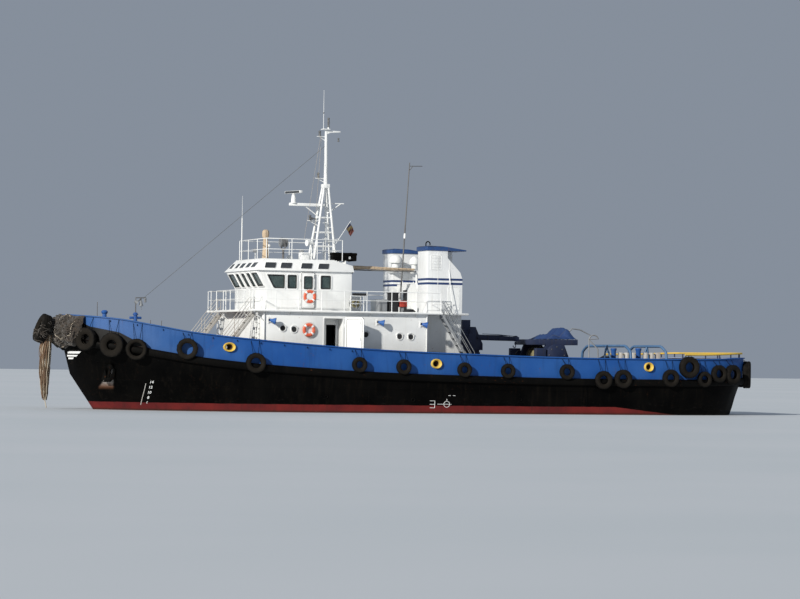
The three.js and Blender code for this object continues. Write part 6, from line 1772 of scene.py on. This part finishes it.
# Deck crane: ribs, hydraulic ram and hoses on the house and jib
def buildCrane():
    x, root, pivot, tip = -3.9, -4.16, 3.82, -3.9 - 2.62
    house = boxes((x + 0.08, -0.62, 3.30, x + 0.32, -0.43, 3.36, 0.01),
                  *((x + 0.10, -0.446, z - 0.02, x + 0.545, 0.446, z + 0.012, 0.006, 1)
                    for z in (4.08, 4.16, 4.24, 4.32)))
    for y, way in ((-0.47, -1), (0.47, 1)):
        house.append(knob([(0.11, 0), (0.11, 0.02), (0.08, 0.035)], (root, y, pivot), (0, way, 0), 24))
        house.append(box((x + 0.56, y * 0.6, 3.5), (x + 0.66, y * 0.9, 4.1), 0.02))
    hoses = [[(x + 0.35, 0.44, 3.3), (x + 0.45, 0.52, 3.6), (x + 0.3, 0.50, 4.0), (x + 0.2, 0.42, 4.3)],
             [(x + 0.45, 0.44, 3.3), (x + 0.55, 0.55, 3.65), (x + 0.4, 0.53, 4.05), (x + 0.3, 0.42, 4.34)]]
    tank = [(0.10, 0), (0.12, 0.02), (0.12, 0.55), (0.10, 0.58)]
    house += [pipe(hoses, 0.018), knob(tank, (x + 0.2, -0.56, 3.25), steps=24)]
    finish(house, "crane_fittings", "navy", 45, "crane_house")
    jib = [box((root - 1.7, -0.175, pivot + 0.085), (root - 0.5, 0.175, pivot + 0.125), 0.01)]
    jib.append(pipe([[(root - 0.35, y, 3.995), (root - 1.2, y, 3.975), (tip + 0.25, y, 3.90)] for y in (0.10, 0.05)],
                    0.014))
    sheave = [(0.15, -0.05), (0.15, -0.03), (0.12, 0.0), (0.15, 0.03), (0.15, 0.05)]
    jib.append(knob(sheave, (tip + 0.14, 0, 3.78), (0, 1, 0), 24))
    jib += boxes(*((px - 0.02, y, 3.69, px + 0.02, y * 0.94, 3.90, 0.004, 1)
                   for y in (-0.165, 0.165) for px in (root - 0.6, root - 1.2, root - 1.8)))
    hook = arc((tip + 0.20, 0, 3.40), math.pi * 0.86, math.pi * 2.1, 0.075, 8, (0, 2))
    jib.append(pipe([[(tip + 0.14, 0, 3.62), (tip + 0.14, 0, 3.45), *hook]], 0.022))
    weight = [(0.0005, 0), (0.05, 0), (0.06, 0.04), (0.05, 0.14), (0.0005, 0.15)]
    finish(jib + [turned(weight, (tip + 0.14, 0, 3.47), steps=16)], "crane_jib_fittings", "navy", 45, "crane_jib")


def chainRun(path, link):
    rings = []
    points = finePath(path, max(2, int(pathLength(path) / (link * 1.5))))
    for i, (a, b) in enumerate(zip(points, points[1:])):
        way = (Vector(b) - Vector(a)).normalized()
        other = way.cross(Vector(upward)).normalized()
        if i % 2:
            other = other.cross(way)
        middle, turns = (Vector(a) + Vector(b)) / 2, (2 * math.pi * k / 8 for k in range(9))
        rings.append([middle + way * link * math.cos(t) + other * link * 0.55 * math.sin(t) for t in turns])
    return rings


def buildForedeck():
    x, parts, dark, chains = 12.6, [], [], []
    parts.append(knob([(0.22, -0.1), (0.24, -0.08), (0.24, 0.08), (0.22, 0.1)], (x - 0.42, 0, 3.2), (0, 1, 0), 28))
    parts += boxes((x - 0.75, -0.28, 2.83, x - 0.2, 0.28, 3.15, 0.04, 3),
                   *((x - 0.5, y * 0.35, 2.86, x + 0.1, y * 0.05, 3.10, 0.03) for y in (-0.95, 0.95)))
    for y in (-0.45, 0.45):
        parts.append(pipe([[(x + 0.05, y, 3.42), (x + 0.05, y, 3.66)]], 0.015))
        parts.append(turned([(0.10, 0), (0.115, 0.012), (0.13, 0), (0.115, -0.012)], (x + 0.05, y, 3.66), steps=24))
    finish(parts, "windlass_fittings", "navy", 45)
    naval = [(0.20, 0), (0.30, 0), (0.30, 0.05), (0.22, 0.10), (0.17, 0.09), (0.14, 0.0)]
    low = [(0.0005, 0), (0.18, 0), (0.18, 0.02), (0.10, 0.04), (0.10, 0.44), (0.13, 0.47), (0.13, 0.54), (0.0005, 0.55)]
    vent = [(0.0005, 0), (0.10, 0), (0.10, 0.30), (0.17, 0.32), (0.19, 0.40), (0.12, 0.47), (0.0005, 0.50)]
    bitt = [(0.0005, 0), (0.17, 0), (0.17, 0.03), (0.11, 0.045), (0.11, 0.62), (0.145, 0.65), (0.145, 0.72),
            (0.0005, 0.75)]
    rows = [(naval, 15.05, 1.62, 0, 28), (low, 13.9, 2.1, -0.005, 24), (low, 11.0, 3.35, -0.005, 24),
            (vent, 15.9, 0.9, 0, 24),
            (bitt, 10.41 - 0.28, 3.85, 0, 28), (bitt, 10.41 + 0.28, 3.85, 0, 28)]
    for _, side in sides:
        path = [(x + 0.24, 0.27, 3.22), (13.6, 0.60, 3.02), (14.7, 1.35, 3.12), (15.0, 1.6, 3.13)]
        chains += chainRun([(px, side * y, z) for px, y, z in path], 0.075)
        dark += [turned(section, (px, side * y, deckAt(px) + lift), steps=steps)
                 for section, px, y, lift, steps in rows]
    finish(pipe(chains, 0.020, 6), "anchor_chains", "steel", 60)
    dark += boxes((11.1, -0.42, 2.52, 11.85, 0.42, 2.92, 0.03, 3), (11.05, -0.47, 2.90, 11.9, 0.47, 2.97, 0.015))
    finish(dark, "foredeck_bollards", "black", 45)
    # lamp post with its bell and lamps, and the jackstaff at the stem
    post = 13.83
    parts = [pipe([[(post, 0, 2.92), (post, 0, 4.74)]], 0.092, 14),
             box((post - 0.30, -0.05, 4.42), (post + 0.30, 0.05, 4.54), 0.02),
             turned([(0.09, 0), (0.13, 0.02), (0.13, 0.08), (0.09, 0.10)], (post, 0, 4.60)),
             knob([(0.16, 0), (0.16, 0.03), (0.10, 0.05)], (post, 0, deckAt(post)), steps=24)]
    parts += [pipe([[(post, -0.18, z), (post, 0.18, z)]], 0.014) for z in (3.4, 3.9, 4.3)]
    finish(parts, "lamp_post_tube", "blue", 50, node="foredeck_lamp_post")
    head = [[(post, 0, 4.70), (post, 0, 5.46), (post - 0.52, 0, 5.47)], [(post, 0, 5.15), (post - 0.28, 0, 5.45)],
            [(post - 0.25, 0, 5.46), (post - 0.27, 0, 5.33)]]
    finish(pipe(head, 0.030, 10), "lamp_post_head", "steel", 50)
    bell = [(0.0005, 0.0), (0.03, -0.005), (0.05, -0.03), (0.075, -0.16), (0.105, -0.25), (0.11, -0.27), (0.098, -0.27),
            (0.065, -0.16), (0.0005, -0.03)]
    clapper = [(0.0005, -0.27), (0.02, -0.29), (0.018, -0.33), (0.0005, -0.34)]
    lamp = [(0.05, 0), (0.06, 0.03), (0.06, 0.16), (0.075, 0.18), (0.04, 0.22)]
    cone = [(0.07, 0), (0.08, 0.05), (0.12, 0.16), (0.105, 0.16), (0.06, 0.05)]
    finish([turned(bell, (post - 0.27, 0, 5.33), steps=28), turned(clapper, (post - 0.27, 0, 5.33), steps=12),
            pipe([[(post - 0.27, 0, 5.06), (post - 0.30, 0, 4.86)]], 0.012, 6), knob(lamp, (post - 0.48, 0, 5.235)),
            knob(cone, (post + 0.05, 0, 5.30), (-0.8, 0.1, -0.5))], "ships_bell_and_lamps", "grey", 50)
    staff = [[(px, y, z0), (px, y, z1)] for px, y, z0, z1 in (
        (16.03, 1.0, deckAt(16.03), 5.20), (12.9, 1.35, 2.66, 4.35), (12.6, -1.6, 2.64, 4.4))]
    finish(pipe(staff, 0.017), "jackstaff", "steel", 60)
    top = 4.80 - deckAt(15.8)
    bollard = [(0.0005, 0), (0.17, 0), (0.17, 0.03), (0.10, 0.05), (0.10, top - 0.18), (0.15, top - 0.14),
               (0.16, top - 0.06),
               (0.10, top), (0.0005, top + 0.01)]
    finish(turned(bollard, (15.8, 1.5, deckAt(15.8) - 0.005), steps=24), "bow_mushroom_bollard", "blue", 45)


for build in (buildBoatDeckGear, buildWinch, buildTarp, buildTowBeams, buildSternRail, buildAfterDeck, buildCrane,
              buildForedeck):
    build()
print("deck gear built")


# Paint marks on the hull, each a thin plate laid on its side
def onHull(x, z, out=0.004, side=1):
    place, normal = rayHit("hull", (x, side * 9.0, z), (0, -side, 0))
    if place is None:
        place, normal = Vector((x, 0.02 * side, z)), Vector((0, side, 0))
    return place + (-normal if normal.y * side < 0 else normal) * out


def hullMark(outline, name, look, steps=10):
    parts = []
    (x0, z0), (x1, z1), (x2, z2), (x3, z3) = outline
    for _, side in sides:
        def place(u, v):
            f, g = u / steps, v / 3
            low, high = (x0 + (x1 - x0) * f, z0 + (z1 - z0) * f), (x3 + (x2 - x3) * f, z3 + (z2 - z3) * f)
            return onHull(low[0] + (high[0] - low[0]) * g, low[1] + (high[1] - low[1]) * g, 0.005, side)
        parts.append(solidify(grid(steps, 3, place, merge=0.00001), 0.003))
    finish(parts, name, look, 60)


# Draught figures are text made into a mesh and laid on the plating
def hullFigure(text, x, z, size, side):
    clearPick()
    bpy.ops.object.text_add(location=(0, 0, 0))
    piece = bpy.context.object
    piece.data.body, piece.data.size, piece.data.offset, piece.data.align_x = text, size, 0.004, "CENTER"
    grab(piece)
    bpy.ops.object.convert(target="MESH")
    piece = bpy.context.object
    for vertex in piece.data.vertices:
        vertex.co = onHull(x - side * vertex.co.x, z + vertex.co.y, 0.005, side)
    return solidify(piece, 0.003)


marks = {
    "stripes": [[(17.25, 2.69), (16.93, 2.69), (16.88, 2.80), (17.26, 2.80)],
                [(17.25, 2.545), (16.98, 2.545), (16.95, 2.625), (17.26, 2.625)],
                [(17.20, 2.42), (17.06, 2.42), (17.04, 2.50), (17.21, 2.50)]],
    "figures": [("14", 1.32), ("12", 1.07), ("10", 0.82), ("8", 0.57), ("6", 0.32)], "figureX": 13.82,
    "scale": [(14.055, 0.27), (14.085, 0.27), (14.07, 1.31), (14.04, 1.31)],
    "comb": [(-0.94, 0.46, -0.20, 0.46), (-0.06, 0.62, -0.06, 0.28), (-0.06, 0.62, 0.20, 0.62),
             (-0.06, 0.45, 0.20, 0.45), (-0.06, 0.28, 0.20, 0.28), (-0.69, 0.64, -0.69, 0.72),
             (-0.88, 0.885, -0.76, 0.885), (-1.12, 0.885, -1.0, 0.885)],
    "discharges": [(1.09, 0.66, 0.09), (-4.6, 0.72, 0.07), (5.6, 0.78, 0.07)],
}


def buildMarks():
    for index, outline in enumerate(marks["stripes"]):
        hullMark(outline, "bow_stripe_%d" % (index + 1), "white")
    figures = [hullFigure(text, marks["figureX"], z, 0.17, side) for _, side in sides for text, z in marks["figures"]]
    finish(figures, "draught_figures", "white", 60)
    hullMark(marks["scale"], "draught_scale", "buff", 3)
    # load line ring and comb, weld beads along the plates, and overboard discharges
    ticks, beads, collars = [], [], []
    for _, side in sides:
        lines = [[onHull(x, z, 0.004, side) for x, z in arc((-0.69, 0.46), 0, 2 * math.pi, 0.15, 32, (0, 1))]]
        for x0, z0, x1, z1 in marks["comb"]:
            lines.append([onHull(x0 + (x1 - x0) * t / 4, z0 + (z1 - z0) * t / 4, 0.004, side) for t in range(5)])
        ticks.append(pipe(lines, 0.012, 6))
        beads.append([onHull(16.55 - 0.115 * k, 2.315 - 0.0128 * k, 0.002, side) for k in range(11)])
        beads += [[onHull(x, 0.45 + 0.08 * k, 0.0, side) for k in range(12)] for x in (9.2, 3.4, -2.4, -8.2)]
        beads.append([onHull(13.4 - 0.4 * k, 1.15, 0.0, side) for k in range(60)])
        for x, z, r in marks["discharges"]:
            collar = [(r * 0.75, -0.02), (r * 0.75, 0.04), (r, 0.05), (r * 1.15, 0.03), (r * 1.2, -0.02)]
            collars.append(turned(collar, onHull(x, z, 0.0, side), (0, side, 0), 24))
    finish(ticks, "load_line_marks", "white", 60)
    finish(pipe(beads, 0.009, 5), "plate_weld_beads", "hull", 60)
    finish(collars, "overboard_discharges", "black", 45)


buildMarks()
print("hull marks laid")

# Floor at the waterline, and soft studio light
light = {"sun": (1.45, 1.0, 0.77), "strength": 4.2, "angle": 2.5, "sky": (0.72, 0.83, 1.0), "skyStrength": 0.33,
         "floor": 900.0, "sunColour": (1.0, 0.965, 0.90)}


def buildStage():
    clearPick()
    bpy.ops.mesh.primitive_grid_add(x_subdivisions=2, y_subdivisions=2, size=light["floor"], location=(0, 0, 0))
    floor = settle(bpy.context.object)
    floor.name = "floor"
    made, shader, place = material("floorPale")
    tone = place.noise(0.05, 3).ramp(0.3, 0.7)
    shade(shader, Base_Color=tone.mix((0.56, 0.60, 0.63), (0.60, 0.63, 0.66)), Roughness=0.6)
    floor.data.materials.append(made)
    world = bpy.data.worlds.new("studio")
    world.use_nodes = True
    shade(world.node_tree.nodes["Background"], Color=light["sky"], Strength=light["skyStrength"])
    bpy.context.scene.world = world
    clearPick()
    bpy.ops.object.light_add(type="SUN")
    sun = bpy.context.object
    sun.data.energy, sun.data.color = light["strength"], light["sunColour"]
    sun.data.angle = math.radians(light["angle"])
    sun.matrix_world = Vector(light["sun"]).to_track_quat("Z", "Y").to_matrix().to_4x4()


buildStage()
print("stage set")
bpy.context.scene.view_settings.view_transform = "Standard"
